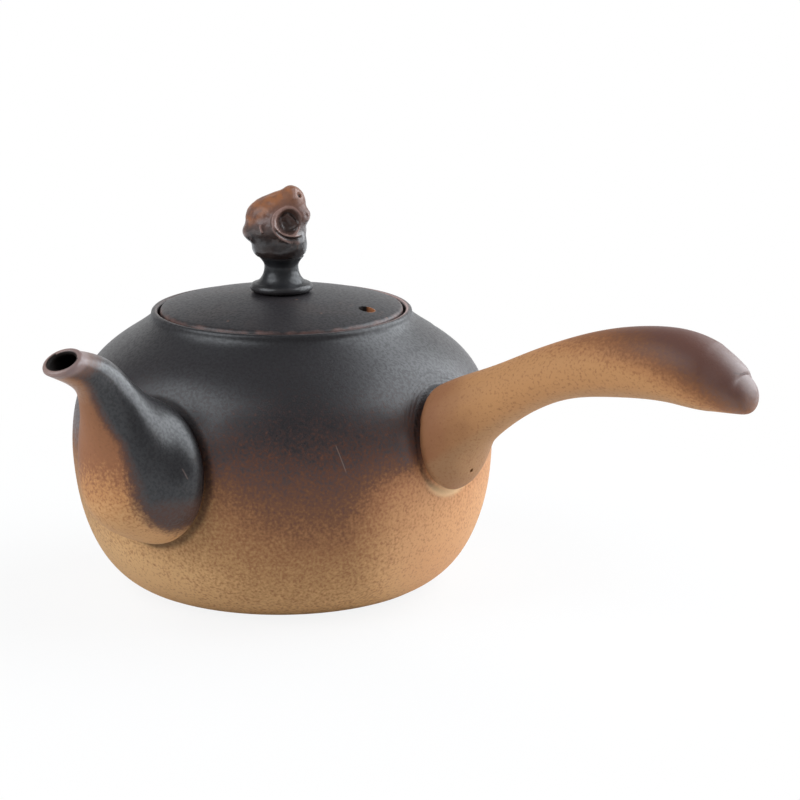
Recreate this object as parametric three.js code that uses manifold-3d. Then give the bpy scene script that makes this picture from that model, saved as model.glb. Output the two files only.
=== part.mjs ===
// Side-handled clay tea kettle with a loose lid that drops into a recess in the mouth.
// Lengths are in millimetres and +Z is up. The origin is the centre of the flat base,
// the handle runs out along +X and the spout along -Y.
// The clay pieces are formed one by one and luted together, so each is a solid of its own.
import * as THREE from "three";
import { mergeVertices } from "three/addons/utils/BufferGeometryUtils.js";
import Module from "manifold-3d";

const wasm = await Module();
wasm.setup();

// Gaps and cutters
const seam = 0.3; // between two luted pieces, and between the lid and its seat
const overrun = 6; // how far a cutter runs past what it cuts

// Bowl
const bellyRadius = 72.4;
const neckRadius = 46.9; // where the shoulder turns up into the rim
const neckHeight = 91.4;
const bellyHeightShare = 0.539; // of the neck's height
const footRadius = 44;
const footLift = 3.5; // how far the underside climbs before it turns up into the wall
const footFlareShare = 0.94; // how far out it has come by then
const lowerBellyShare = 0.12; // how long the wall stays upright below the belly
const upperBellyShare = 0.73; // and above it
const shoulderShare = 0.39; // how far the shoulder keeps the slope that it has at the neck
const shoulderSlope = 0.77; // rise over run
const rimRise = 4.3; // from the neck to the lip
const rimThickness = 2.4;
const gallerySetback = 4.6; // from the neck in to the recess that the lid drops into
const galleryDepth = 4;
const ledgeThickness = 3.8;
const ledgeWidth = 3.1;
const bowlWall = 4;
const floorThickness = 5;
const floorCorner = 12; // reach of the inside curve from the floor to the wall
const floorCornerRise = 4;

// Outlet in the wall, and the strainer behind it
const outletRadius = 14;
const outletLift = 1.7; // above the belly
const strainerRadius = 17;
const strainerWall = 2.4;
const strainerSetback = 5; // how far the dome's centre lies outside the bowl's inner wall
const strainerHoleRadius = 1.2;
const strainerRings = 3;
const strainerRingAngle = THREE.MathUtils.degToRad(15.5);
const holesPerRing = 6; // times the ring's number

// Spout, in its own upright plane. It starts inside the wall and is trimmed to the bowl.
const spoutRootSetback = 16.4; // inside the belly
const spoutProjection = 43.9; // outside the belly
const spoutDrop = 26; // from the belly's height down to the lowest point of the root
const spoutRise = 4.2; // above the rim, so that a full kettle doesn't spill
const spoutHalfWidth = 22.7;
const spoutRootWall = 4.5;
const spoutTipWall = 1.9;
const spoutTopShares = [
  [0.02, 0.64], [0.17, 0.69], [0.31, 0.75], [0.44, 0.83], [0.54, 0.91], [0.65, 0.96], [0.8, 1],
];
const spoutBottomShares = [
  [0.02, 0], [0.41, 0.12], [0.59, 0.23], [0.63, 0.37], [0.66, 0.58], [0.75, 0.8], [1, 0.918],
];
const spoutWidthShares = [0.87, 1, 0.76, 0.6, 0.42, 0.3, 0.3];

// Handle, in its own upright plane
const handleRootSetback = 14.4;
const handleProjection = 112.7;
const handleDrop = 10.5;
const handleRise = 12.7;
const handleHalfWidth = 18.7;
const handleWall = 4.2;
const handleHollowShare = 0.82; // how far along the handle the hollow runs
const handleEndRound = 4; // how far the blunt end bulges past the last section
const handleTopShares = [
  [0.01, 0.5], [0.11, 0.6], [0.24, 0.7], [0.38, 0.82], [0.52, 0.92], [0.65, 0.98],
  [0.78, 1], [0.88, 0.96], [0.95, 0.88], [0.984, 0.805],
];
const handleBottomShares = [
  [0.03, 0], [0.15, 0.09], [0.2, 0.27], [0.28, 0.41], [0.38, 0.53], [0.49, 0.61],
  [0.63, 0.65], [0.75, 0.665], [0.86, 0.652], [0.965, 0.655],
];
const handleWidthShares = [1, 0.84, 0.6, 0.55, 0.57, 0.61, 0.65, 0.65, 0.55, 0.36];
const ventRadius = 1;
const ventLift = 1.7; // above the belly, low on the outer side of the root

// Lid
const lidClearance = 1.1;
const lidEdge = 3.4;
const lidEdgeRound = 0.9;
const lidRise = 6.3;
const lidPlate = 3.6;
const flangeClearance = 0.8;
const flangeThickness = 2.4;
const flangeDepth = 7;
const flangeRound = 0.8;
const steamHoleRadius = 3.1;
const steamHoleInset = 8.4; // from the lid's edge
const steamHoleAngle = THREE.MathUtils.degToRad(9);

// Knob
const beadRadius = 10.7;
const beadHeight = 3.2;
const waistRadius = 5.8;
const waistRise = 8.6; // above the bottom of the bead
const pedestalTopRadius = 7.7;
const pedestalRise = 11.8;
const finialHeight = 24;
const finialHalfWidth = 11.5;
const finialTurn = THREE.MathUtils.degToRad(36); // how its face is turned from the front

// Fineness of the round forms
const bowlSides = 52;
const wallSteps = 6;
const cornerSteps = 3;
const strainerSides = 18;
const spoutSides = 24;
const spoutSteps = 15;
const handleSides = 18;
const handleSteps = 17;
const endSteps = 3;
const lastEndAngle = THREE.MathUtils.degToRad(75); // where the last ring of a round end lies
const lidSides = 48;
const lidSteps = 5;
const knobSides = 28;
const knobSteps = 4;
const lumpSides = 12;
const holeSides = 6;
const steamHoleSides = 12;

// Heights and radii that the pieces share
const galleryRadius = neckRadius - gallerySetback;
const throatRadius = galleryRadius - ledgeWidth;
const bellyHeight = neckHeight * bellyHeightShare;
const rimHeight = neckHeight + rimRise;
const outletHeight = bellyHeight + outletLift;

const charcoal = new THREE.MeshStandardMaterial({ color: 0x2b2a2c, roughness: 0.45 });
const russet = new THREE.MeshStandardMaterial({ color: 0x7a4a33, roughness: 0.55 });
const ochre = new THREE.MeshStandardMaterial({ color: 0xb07a48, roughness: 0.65 });

// Solids and meshes

// A closed geometry as a solid that can be joined and cut.
function toSolid(geometry) {
  const bare = geometry.clone();
  bare.deleteAttribute("normal");
  bare.deleteAttribute("uv");
  const merged = mergeVertices(bare, seam / 1000);
  return new wasm.Manifold(
    new wasm.Mesh({
      numProp: 3,
      vertProperties: new Float32Array(merged.attributes.position.array),
      triVerts: new Uint32Array(merged.index.array),
    }),
  );
}

function toMesh(solid, name, material) {
  const { vertProperties, triVerts } = solid.getMesh();
  const geometry = new THREE.BufferGeometry();
  geometry.setAttribute("position", new THREE.BufferAttribute(vertProperties, 3));
  geometry.setIndex(new THREE.BufferAttribute(triVerts, 1));
  geometry.computeVertexNormals();
  const mesh = new THREE.Mesh(geometry, material);
  mesh.name = name;
  return mesh;
}

function at(radius, height) {
  return new THREE.Vector2(radius, height);
}

// Turns an outline of radius and height about the upright axis.
function turned(outline, sides) {
  const geometry = new THREE.LatheGeometry(outline, sides);
  geometry.rotateX(Math.PI / 2);
  return toSolid(geometry);
}

function middleOf(ring) {
  const middle = new THREE.Vector3();
  for (const point of ring) middle.addScaledVector(point, 1 / ring.length);
  return middle;
}

// A closed skin over rings that all have the same count of points, with a fan over each end.
function skinned(rings) {
  const count = rings[0].length;
  const points = rings.flat();
  const faces = [];
  for (let ring = 0; ring + 1 < rings.length; ring++) {
    for (let i = 0; i < count; i++) {
      const a = ring * count + i;
      const b = ring * count + ((i + 1) % count);
      faces.push(a, b, b + count, a, b + count, a + count);
    }
  }
  const ends = [0, (rings.length - 1) * count];
  for (const first of ends) {
    const centre = points.push(middleOf(points.slice(first, first + count))) - 1;
    for (let i = 0; i < count; i++) {
      const a = first + i;
      const b = first + ((i + 1) % count);
      faces.push(...(first === 0 ? [centre, b, a] : [centre, a, b]));
    }
  }
  const geometry = new THREE.BufferGeometry().setFromPoints(points);
  geometry.setIndex(faces);
  return toSolid(geometry);
}

// Spout and handle are limbs. Each is drawn on an upright plane through the kettle's axis,
// in a frame that reaches from inside the belly outwards and from below it to above the rim.
const onSpoutPlane = (reach, side, height) => new THREE.Vector3(side, -reach, height);
const onHandlePlane = (reach, side, height) => new THREE.Vector3(reach, side, height);

// A smooth line through shares of a frame that starts at a corner.
function lineThrough(shares, corner, size) {
  const points = shares.map(([x, y]) => at(corner.x + x * size.x, corner.y + y * size.y));
  return new THREE.SplineCurve(points);
}

// A smooth run of values from the root to the tip.
function valueAlong(shares, size) {
  const curve = new THREE.SplineCurve(shares.map((share, i) => at(i, share * size)));
  return (t) => curve.getPoint(t).y;
}

// An ellipse between the top line and the bottom line, drawn in by the wall.
function sectionOf(shape, t, wall) {
  const high = shape.top.getPoint(t);
  const low = shape.bottom.getPoint(t);
  const middle = high.clone().add(low).multiplyScalar(0.5);
  const half = high.clone().sub(low).multiplyScalar(0.5);
  const rise = half.clone().setLength(half.length() - wall);
  const width = shape.width(t) - wall;
  const ring = [];
  for (let i = 0; i < shape.sides; i++) {
    const angle = (2 * Math.PI * i) / shape.sides;
    const point = middle.clone().addScaledVector(rise, Math.sin(angle));
    ring.push(shape.place(point.x, width * Math.cos(angle), point.y));
  }
  return ring;
}

function limb(shape, wall, end) {
  const rings = [];
  for (let step = 0; step <= shape.steps; step++) {
    const t = (end * step) / shape.steps;
    rings.push(sectionOf(shape, t, wall(t)));
  }
  return rings;
}

// The direction in which a limb runs on past a ring.
function onwards(ring) {
  const quarter = Math.floor(ring.length / 4);
  const across = ring[quarter].clone().sub(ring[0]);
  const down = ring[2 * quarter].clone().sub(ring[0]);
  return across.cross(down).normalize();
}

// The last ring again, pushed straight out past the end.
function pushedOut(rings) {
  const last = rings[rings.length - 1];
  const out = onwards(last).multiplyScalar(overrun);
  return last.map((point) => point.clone().add(out));
}

// Smaller and smaller rings that round off the end.
function roundedOff(rings, depth) {
  const last = rings[rings.length - 1];
  const middle = middleOf(last);
  const out = onwards(last);
  const ends = [];
  for (let step = 1; step <= endSteps; step++) {
    const angle = (lastEndAngle * step) / endSteps;
    const push = out.clone().multiplyScalar(depth * Math.sin(angle));
    const shrink = Math.cos(angle);
    ends.push(last.map((point) => middle.clone().lerp(point, shrink).add(push)));
  }
  return [...rings, ...ends];
}

// Bowl

// The outside of the wall from the foot to the neck.
function wallLine() {
  const line = new THREE.Path();
  line.moveTo(footRadius, 0);
  line.bezierCurveTo(
    footRadius + (bellyRadius - footRadius) * footFlareShare,
    footLift,
    bellyRadius,
    bellyHeight * (1 - lowerBellyShare),
    bellyRadius,
    bellyHeight,
  );
  const shoulderRun = (bellyRadius - neckRadius) * shoulderShare;
  line.bezierCurveTo(
    bellyRadius,
    bellyHeight + (neckHeight - bellyHeight) * upperBellyShare,
    neckRadius + shoulderRun,
    neckHeight - shoulderRun * shoulderSlope,
    neckRadius,
    neckHeight,
  );
  return line.getPoints(wallSteps);
}

// A line moved towards the axis, or away from it by a negative distance.
function movedIn(line, distance) {
  return line.map((point, i) => {
    const before = line[Math.max(i - 1, 0)];
    const after = line[Math.min(i + 1, line.length - 1)];
    const along = after.clone().sub(before).normalize();
    return at(point.x - along.y * distance, point.y + along.x * distance);
  });
}

// All that lies inside a line, down to the axis.
function filled(line) {
  const bottom = line[0].y;
  const top = line[line.length - 1].y;
  return turned([at(0, bottom), ...line, at(0, top)], bowlSides);
}

const outerWall = wallLine();
const wallStart = floorThickness + floorCornerRise;
const innerWall = movedIn(outerWall, bowlWall).filter((point) => point.y > wallStart);
const ledgeHeight = rimHeight - galleryDepth;

function innerRadiusAt(height) {
  const above = innerWall.findIndex((point) => point.y >= height);
  const low = innerWall[above - 1];
  const high = innerWall[above];
  return low.x + ((high.x - low.x) * (height - low.y)) / (high.y - low.y);
}

// What the spout and the handle are trimmed to, so that their roots follow the wall.
const wallTrim = filled(movedIn(outerWall, -seam));

function makeBowl() {
  const corner = new THREE.Path();
  corner.moveTo(innerWall[0].x - floorCorner, floorThickness);
  corner.quadraticCurveTo(
    innerWall[0].x - floorCornerRise / 2,
    floorThickness,
    innerWall[0].x,
    innerWall[0].y,
  );
  const rimRound = rimThickness / 2;
  const rimOuter = galleryRadius + rimThickness;
  const rim = new THREE.Path();
  rim.moveTo(galleryRadius, rimHeight - rimRound);
  rim.absarc(galleryRadius + rimRound, rimHeight - rimRound, rimRound, Math.PI, 0, true);
  rim.quadraticCurveTo(
    rimOuter,
    neckHeight + (neckRadius - rimOuter) * shoulderSlope,
    neckRadius,
    neckHeight,
  );
  const outline = [
    at(0, floorThickness),
    ...corner.getPoints(cornerSteps),
    ...innerWall.slice(1),
    at(throatRadius, ledgeHeight - ledgeThickness),
    at(throatRadius, ledgeHeight),
    at(galleryRadius, ledgeHeight),
    ...rim.getPoints(cornerSteps + 1),
    ...outerWall.slice(0, -1).reverse(),
    at(0, 0),
  ];
  const shell = turned(outline.reverse(), bowlSides);
  const outlet = new THREE.CylinderGeometry(outletRadius, outletRadius, bellyRadius, spoutSides);
  outlet.translate(0, -bellyRadius, outletHeight);
  return shell.subtract(toSolid(outlet));
}

// A pierced dome that is luted over the outlet, inside the bowl.
function makeStrainer() {
  const centreReach = innerRadiusAt(outletHeight) + strainerSetback;
  const ball = (radius) => {
    const geometry = new THREE.SphereGeometry(radius, strainerSides, strainerSides / 2);
    geometry.translate(0, -centreReach, outletHeight);
    return toSolid(geometry);
  };
  const drill = (tilt, turn) => {
    const radius = strainerHoleRadius;
    const length = strainerRadius + overrun;
    const hole = new THREE.CylinderGeometry(radius, radius, length, holeSides);
    hole.translate(0, length / 2, 0);
    hole.rotateX(tilt);
    hole.rotateY(turn);
    hole.translate(0, -centreReach, outletHeight);
    return toSolid(hole);
  };
  let dome = ball(strainerRadius).subtract(ball(strainerRadius - strainerWall));
  dome = dome.subtract(drill(0, 0));
  for (let ring = 1; ring <= strainerRings; ring++) {
    const count = ring * holesPerRing;
    for (let i = 0; i < count; i++) {
      dome = dome.subtract(drill(ring * strainerRingAngle, (2 * Math.PI * i) / count));
    }
  }
  return dome.intersect(filled(movedIn(innerWall, seam)));
}

// Limbs

function makeSpout() {
  const corner = at(bellyRadius - spoutRootSetback, bellyHeight - spoutDrop);
  const far = at(bellyRadius + spoutProjection, rimHeight + spoutRise);
  const size = far.clone().sub(corner);
  const shape = {
    top: lineThrough(spoutTopShares, corner, size),
    bottom: lineThrough(spoutBottomShares, corner, size),
    width: valueAlong(spoutWidthShares, spoutHalfWidth),
    place: onSpoutPlane,
    sides: spoutSides,
    steps: spoutSteps,
  };
  const outside = limb(shape, () => 0, 1);
  const bore = limb(shape, (t) => spoutRootWall + (spoutTipWall - spoutRootWall) * t, 1);
  bore.push(pushedOut(bore));
  return skinned(outside).subtract(skinned(bore)).subtract(wallTrim);
}

function makeHandle() {
  const corner = at(bellyRadius - handleRootSetback, bellyHeight - handleDrop);
  const far = at(bellyRadius + handleProjection, rimHeight + handleRise);
  const size = far.clone().sub(corner);
  const shape = {
    top: lineThrough(handleTopShares, corner, size),
    bottom: lineThrough(handleBottomShares, corner, size),
    width: valueAlong(handleWidthShares, handleHalfWidth),
    place: onHandlePlane,
    sides: handleSides,
    steps: handleSteps,
  };
  const outside = skinned(roundedOff(limb(shape, () => 0, 1), handleEndRound));
  const hollow = skinned(limb(shape, () => handleWall, handleHollowShare));
  const vent = new THREE.CylinderGeometry(ventRadius, ventRadius, handleHalfWidth, holeSides);
  vent.rotateZ(Math.PI / 2);
  vent.translate(bellyRadius + handleHalfWidth / 2, 0, bellyHeight + ventLift);
  return outside.subtract(hollow).subtract(toSolid(vent)).subtract(wallTrim);
}

// Lid

const lidRadius = galleryRadius - lidClearance;
const lidBottom = ledgeHeight + seam;
const lidEdgeTop = lidBottom + lidEdge;

// The lid's upper face, which falls away from the centre like a shallow dome.
function domeHeight(radius) {
  return lidEdgeTop + lidRise * (1 - (radius / lidRadius) ** 2);
}

function makeLidDisc() {
  const shoulder = lidRadius - lidEdgeRound;
  const over = [];
  for (let i = 0; i <= lidSteps; i++) {
    const radius = (shoulder * i) / lidSteps;
    over.push(at(radius, domeHeight(radius) - (lidEdgeRound / 2) * (i === lidSteps ? 1 : 0)));
  }
  const flangeInner = throatRadius - flangeClearance - flangeThickness;
  const under = [];
  for (let i = 0; i < lidSteps; i++) {
    const radius = (flangeInner * i) / lidSteps;
    under.push(at(radius, domeHeight(radius) - lidPlate));
  }
  const outline = [
    ...under,
    at(flangeInner, lidBottom),
    at(lidRadius, lidBottom),
    at(lidRadius, lidEdgeTop - lidEdgeRound),
    ...over.reverse(),
  ];
  const disc = turned(outline, lidSides);
  const length = lidEdge + lidRise + 2 * overrun;
  const hole = new THREE.CylinderGeometry(steamHoleRadius, steamHoleRadius, length, steamHoleSides);
  hole.rotateX(Math.PI / 2);
  hole.translate(lidRadius - steamHoleInset, 0, lidBottom);
  hole.rotateZ(steamHoleAngle);
  return disc.subtract(toSolid(hole));
}

function makeFlange() {
  const outer = throatRadius - flangeClearance;
  const inner = outer - flangeThickness;
  const top = lidBottom - seam;
  const bottom = lidBottom - flangeDepth;
  const outline = [
    at(inner, top),
    at(inner, bottom + flangeRound),
    at(inner + flangeRound, bottom),
    at(outer - flangeRound, bottom),
    at(outer, bottom + flangeRound),
    at(outer, top),
    at(inner, top),
  ];
  return turned(outline, lidSides);
}

// Knob

const pedestalBottom = domeHeight(0) + seam;
const finialBottom = pedestalBottom + pedestalRise + seam;

function makePedestal() {
  const bead = new THREE.Path();
  const beadRound = beadHeight / 2;
  const beadFoot = domeHeight(beadRadius) + seam;
  bead.moveTo(beadRadius - beadRound, beadFoot);
  const beadMiddle = at(beadRadius - beadRound, beadFoot + beadRound);
  bead.absarc(beadMiddle.x, beadMiddle.y, beadRound, -Math.PI / 2, Math.PI / 3, false);
  bead.quadraticCurveTo(
    waistRadius,
    pedestalBottom + beadHeight,
    waistRadius,
    pedestalBottom + waistRise,
  );
  bead.quadraticCurveTo(
    waistRadius,
    pedestalBottom + pedestalRise,
    pedestalTopRadius,
    pedestalBottom + pedestalRise,
  );
  const outline = [
    at(0, pedestalBottom),
    ...bead.getPoints(knobSteps),
    at(0, pedestalBottom + pedestalRise),
  ];
  return turned(outline, knobSides);
}

// The finial is a lump modelled by hand. Its parts are given as shares of its half width
// to the right, to the front and as shares of its height above its foot.
const lumpShares = [
  { middle: [-0.13, 0, 0.43], size: [0.89, 0.84, 0.44] },
  { middle: [0.31, 0, 0.73], size: [0.48, 0.54, 0.27] },
  { middle: [-0.16, 0, 0.68], size: [0.6, 0.62, 0.25] },
  { middle: [-0.45, 0, 0.61], size: [0.58, 0.6, 0.22] },
  { middle: [-0.84, 0.1, 0.34], size: [0.3, 0.33, 0.13] },
  { middle: [0.58, 0.1, 0.56], size: [0.32, 0.36, 0.15] },
  { middle: [0.3, 0.25, 0.19], size: [0.46, 0.5, 0.21] },
  { middle: [-0.07, 0, 0.06], size: [0.75, 0.75, 0.19] },
];
const hollowShares = [
  { middle: [0.29, 0.88, 0.54], size: [0.33, 0.42, 0.18] },
  { middle: [0.6, 0.42, 0.9], size: [0.08, 0.22, 0.07] },
];
const curlShares = { middle: [0.3, 0.68, 0.53], size: [0.17, 0.26, 0.06] };
const lipShares = [
  { middle: [0.26, 0.64, 0.5], radius: 0.52, thickness: 0.08 },
  { middle: [0.31, 0.72, 0.53], radius: 0.4, thickness: 0.07 },
];

function onFinial([right, front, up]) {
  return [right * finialHalfWidth, -front * finialHalfWidth, up * finialHeight];
}

function lump({ middle, size }) {
  const geometry = new THREE.SphereGeometry(finialHalfWidth, lumpSides, lumpSides / 2);
  geometry.rotateX(Math.PI / 2);
  const [right, front, up] = size;
  geometry.scale(right, front, (up * finialHeight) / finialHalfWidth);
  geometry.translate(...onFinial(middle));
  return toSolid(geometry);
}

function lip({ middle, radius, thickness }) {
  const ring = radius * finialHalfWidth;
  const geometry = new THREE.TorusGeometry(ring, thickness * finialHalfWidth, holeSides, lumpSides);
  geometry.rotateX(Math.PI / 2);
  geometry.rotateZ(finialTurn / 2);
  geometry.translate(...onFinial(middle));
  return toSolid(geometry);
}

function makeFinial() {
  let body = lump(lumpShares[0]);
  for (const shares of lumpShares.slice(1)) body = body.add(lump(shares));
  for (const shares of lipShares) body = body.add(lip(shares));
  for (const shares of hollowShares) body = body.subtract(lump(shares));
  body = body.add(lump(curlShares));
  const above = new THREE.BoxGeometry(3 * finialHalfWidth, 3 * finialHalfWidth, 2 * finialHeight);
  above.translate(0, 0, finialHeight);
  body = body.intersect(toSolid(above));
  const degrees = THREE.MathUtils.radToDeg(finialTurn);
  return body.rotate([0, 0, degrees]).translate([0, 0, finialBottom]);
}

const kettle = new THREE.Group();
kettle.name = "clay_tea_kettle";
kettle.add(toMesh(makeBowl(), "bowl", charcoal));
kettle.add(toMesh(makeSpout(), "spout", russet));
kettle.add(toMesh(makeStrainer(), "strainer_dome", ochre));
kettle.add(toMesh(makeHandle(), "handle", ochre));
kettle.add(toMesh(makeLidDisc(), "lid_disc", charcoal));
kettle.add(toMesh(makeFlange(), "lid_flange", russet));
kettle.add(toMesh(makePedestal(), "knob_pedestal", charcoal));
kettle.add(toMesh(makeFinial(), "knob_finial", russet));

export default kettle;
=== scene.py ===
# %% [markdown]
# # A clay tea kettle with a side handle
# The real kettle is unglazed clay. A bowl is thrown on the wheel, a spout and a hollow
# handle are formed on their own and luted on with slip, and a loose lid drops into a
# recess in the mouth. Smoke in the kiln turned the top charcoal and left the foot tan.
#
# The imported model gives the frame: its bodies move, and each visible piece made here
# rides on one of them and stands in for one of its plain nodes.

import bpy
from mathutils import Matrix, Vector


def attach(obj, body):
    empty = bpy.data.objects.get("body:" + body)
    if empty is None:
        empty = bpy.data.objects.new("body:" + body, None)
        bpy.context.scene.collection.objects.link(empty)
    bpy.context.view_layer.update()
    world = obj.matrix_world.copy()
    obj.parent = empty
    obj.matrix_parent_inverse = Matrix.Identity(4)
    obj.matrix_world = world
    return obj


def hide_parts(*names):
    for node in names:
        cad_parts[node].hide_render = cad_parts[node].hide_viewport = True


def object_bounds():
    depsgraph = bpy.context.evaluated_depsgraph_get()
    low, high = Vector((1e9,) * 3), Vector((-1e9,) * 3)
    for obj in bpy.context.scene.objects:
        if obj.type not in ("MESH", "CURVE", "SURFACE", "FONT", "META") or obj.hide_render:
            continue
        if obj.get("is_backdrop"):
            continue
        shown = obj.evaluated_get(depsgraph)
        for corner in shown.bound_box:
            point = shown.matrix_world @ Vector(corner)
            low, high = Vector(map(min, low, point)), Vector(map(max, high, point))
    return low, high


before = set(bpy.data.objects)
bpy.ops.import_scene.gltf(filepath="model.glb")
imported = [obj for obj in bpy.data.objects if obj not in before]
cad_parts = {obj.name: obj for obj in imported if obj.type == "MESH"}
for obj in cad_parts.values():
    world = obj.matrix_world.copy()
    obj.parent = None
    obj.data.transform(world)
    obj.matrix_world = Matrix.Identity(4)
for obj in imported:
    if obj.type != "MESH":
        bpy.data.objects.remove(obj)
packed_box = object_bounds()

# %% [markdown]
# ## From clay to a piece
# Shapes are drawn in millimetres, because a potter thinks in them. A bmesh is a shape
# that is still being worked on. When it is done it shrinks to metres, gets smooth
# shading with sharp folds left sharp, and is named for what it is on the kettle.

# %% Tools for shapes
import math

import bmesh
import bpy
import numpy as np
from mathutils import Matrix, Vector, geometry, kdtree, noise

METRES_PER_MM = 0.001
FOLD = 40

print("numpy", np.__version__, "and Blender", bpy.app.version_string)

# %% A shape becomes a piece that rides on its body


def as_object(shape, name):
    mesh = bpy.data.meshes.new(name)
    shape.to_mesh(mesh)
    shape.free()
    thing = bpy.data.objects.new(name, mesh)
    bpy.context.scene.collection.objects.link(thing)
    return thing


def finish_piece(shape, name, node, body, fold=FOLD):
    bmesh.ops.scale(shape, vec=(METRES_PER_MM,) * 3, verts=shape.verts)
    piece = as_object(shape, name)
    piece.data.shade_smooth()
    piece.data.set_sharp_from_angle(angle=math.radians(fold))
    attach(piece, body)
    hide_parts(node)
    triangles = sum(len(face.vertices) - 2 for face in piece.data.polygons)
    print(f"{name}: {triangles} triangles")
    return piece


# %% [markdown]
# ## The line of the wall
# Everything hangs on one line: the outside of the bowl from its foot to its neck. Two
# curves meet at the belly. The spout and the handle are fitted against the same line, so
# it is drawn first, finely, and a helper measures how far a point stands off it.

# %% Draw the wall's line and measure from it
BELLY_RADIUS = 72.4
BELLY_HEIGHT = 49.26
NECK_RADIUS = 46.9
NECK_HEIGHT = 91.4
FOOT_RADIUS = 44.0
RIM_HEIGHT = 95.7
BOWL_WALL = 4.0
POINTS_AT_ONCE = 4000


def curve(start, pull, push, end, steps):
    points = geometry.interpolate_bezier(
        Vector(start), Vector(pull), Vector(push), Vector(end), steps + 1
    )
    return [(point[0], point[1]) for point in points]


def wall_line(steps):
    """The outside of the bowl as (radius, height), from the foot up to the neck."""
    foot, belly, neck = (FOOT_RADIUS, 0.0), (BELLY_RADIUS, BELLY_HEIGHT), (NECK_RADIUS, NECK_HEIGHT)
    lower = curve(foot, (70.7, 3.5), (BELLY_RADIUS, 43.35), belly, steps)
    upper = curve(belly, (BELLY_RADIUS, 80.02), (56.85, 83.74), neck, steps)
    return lower + upper[1:]


def moved_in(line, distance):
    """A line moved square to itself, towards the inside of the pot."""
    line = np.array(line)
    along = np.gradient(line, axis=0)
    along /= np.linalg.norm(along, axis=1)[:, None]
    return line + np.stack([-along[:, 1], along[:, 0]], axis=1) * distance


FINE_WALL = np.array(wall_line(200))
WALL_OUT = moved_in(FINE_WALL, -1.0) - FINE_WALL


def stand_off(points):
    """How far each point stands outside the wall, negative inside it."""
    points = np.asarray(points)
    radius = np.hypot(points[:, 0], points[:, 1])
    flat = np.stack([radius, points[:, 2]], axis=1)
    gap = np.empty(len(flat))
    for start in range(0, len(flat), POINTS_AT_ONCE):
        some = flat[start : start + POINTS_AT_ONCE]
        away = some[:, None, :] - FINE_WALL[None, :, :]
        near = np.argmin((away**2).sum(axis=2), axis=1)
        outward = away[np.arange(len(some)), near] * WALL_OUT[near]
        gap[start : start + POINTS_AT_ONCE] = outward.sum(axis=1)
    return gap


print("wall line:", len(FINE_WALL), "points, widest", round(FINE_WALL[:, 0].max(), 1), "mm")

# %% [markdown]
# ## Throwing
# A thrown pot is a line turned about an axis, so the spin operator is the wheel. A whole
# turn has to merge its last column with its first, and the points on the axis merge into
# one pole. Cuts through the clay, such as the outlet, are made with closed knives.

# %% The wheel
SAME_PLACE = 0.001


def throw(outline, turns=160, closed=False):
    """Turns an outline of (radius, height) once round the upright axis."""
    shape = bmesh.new()
    points = [shape.verts.new((radius, 0.0, height)) for radius, height in outline]
    pairs = list(zip(points, points[1:]))
    if closed:
        pairs.append((points[-1], points[0]))
    edges = [shape.edges.new(pair) for pair in pairs]
    bmesh.ops.spin(
        shape, geom=points + edges, cent=(0, 0, 0), axis=(0, 0, 1),
        angle=2 * math.pi, steps=turns, use_merge=True,
    )
    bmesh.ops.remove_doubles(shape, verts=shape.verts, dist=SAME_PLACE)
    bmesh.ops.recalc_face_normals(shape, faces=shape.faces)
    return shape


print("the wheel merges points closer than", SAME_PLACE, "mm")

# %% The knife and the wobble of a hand


def carve(shape, *knives):
    """Cuts closed shapes out of a closed shape."""
    block = as_object(shape, "block")
    tools = [as_object(knife, "knife") for knife in knives]
    for tool in tools:
        cut = block.modifiers.new("cut", "BOOLEAN")
        cut.operation = "DIFFERENCE"
        cut.solver = "EXACT"
        cut.object = tool
    bpy.context.view_layer.update()
    result = bmesh.new()
    result.from_object(block, bpy.context.evaluated_depsgraph_get())
    for thing in [block, *tools]:
        mesh = thing.data
        bpy.data.objects.remove(thing)
        bpy.data.meshes.remove(mesh)
    bmesh.ops.remove_doubles(result, verts=result.verts, dist=SAME_PLACE / 2)
    return result


def rod(radius, start, end, sides=32):
    """A round knife from one point to another."""
    start, end = Vector(start), Vector(end)
    way = end - start
    shape = bmesh.new()
    bmesh.ops.create_cone(
        shape, cap_ends=True, segments=sides, radius1=radius, radius2=radius, depth=way.length
    )
    turn = way.to_track_quat("Z", "Y").to_matrix().to_4x4()
    place = Matrix.Translation((start + end) / 2) @ turn
    bmesh.ops.transform(shape, matrix=place, verts=shape.verts)
    return shape


def wobble(place, size, depth):
    """A slow unevenness such as hands leave, up to depth either way."""
    return noise.noise(Vector(place) / size) * depth


print("a hand may wobble by", round(wobble((10, 20, 30), 34.0, 0.35), 3), "mm here")

# %% [markdown]
# ## The bowl
# The bowl is one wall about 4 mm thick. It turns in over the shoulder, then up into a
# thin lip, and inside the lip a narrow recess takes the lid. The line runs up the inside,
# over the lip and down the outside, so the spun wall is closed. Each corner of wet clay
# is round, so corners get a short curve. The wall is then pushed about by tenths of a
# millimetre, because no thrown wall is perfectly round.

# %% Outline of the bowl
LEDGE_HEIGHT = RIM_HEIGHT - 4.0
THROAT_RADIUS = 39.2
RECESS_RADIUS = 42.3
LIP_THICKNESS = 2.4
FLOOR_HEIGHT = 5.0


def corner(before, at, after, reach, steps=3):
    """A short curve in place of a corner."""
    before, at, after = Vector(before), Vector(at), Vector(after)
    start = at + (before - at).normalized() * reach
    end = at + (after - at).normalized() * reach
    return curve(start, start.lerp(at, 0.6), end.lerp(at, 0.6), end, steps)


def lip_round(inner, outer, top, steps=6):
    """Half a circle over the lip."""
    middle, reach = (inner + outer) / 2, (outer - inner) / 2
    angles = [math.pi * (1 - step / steps) for step in range(steps + 1)]
    return [(middle + reach * math.cos(a), top - reach + reach * math.sin(a)) for a in angles]


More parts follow.
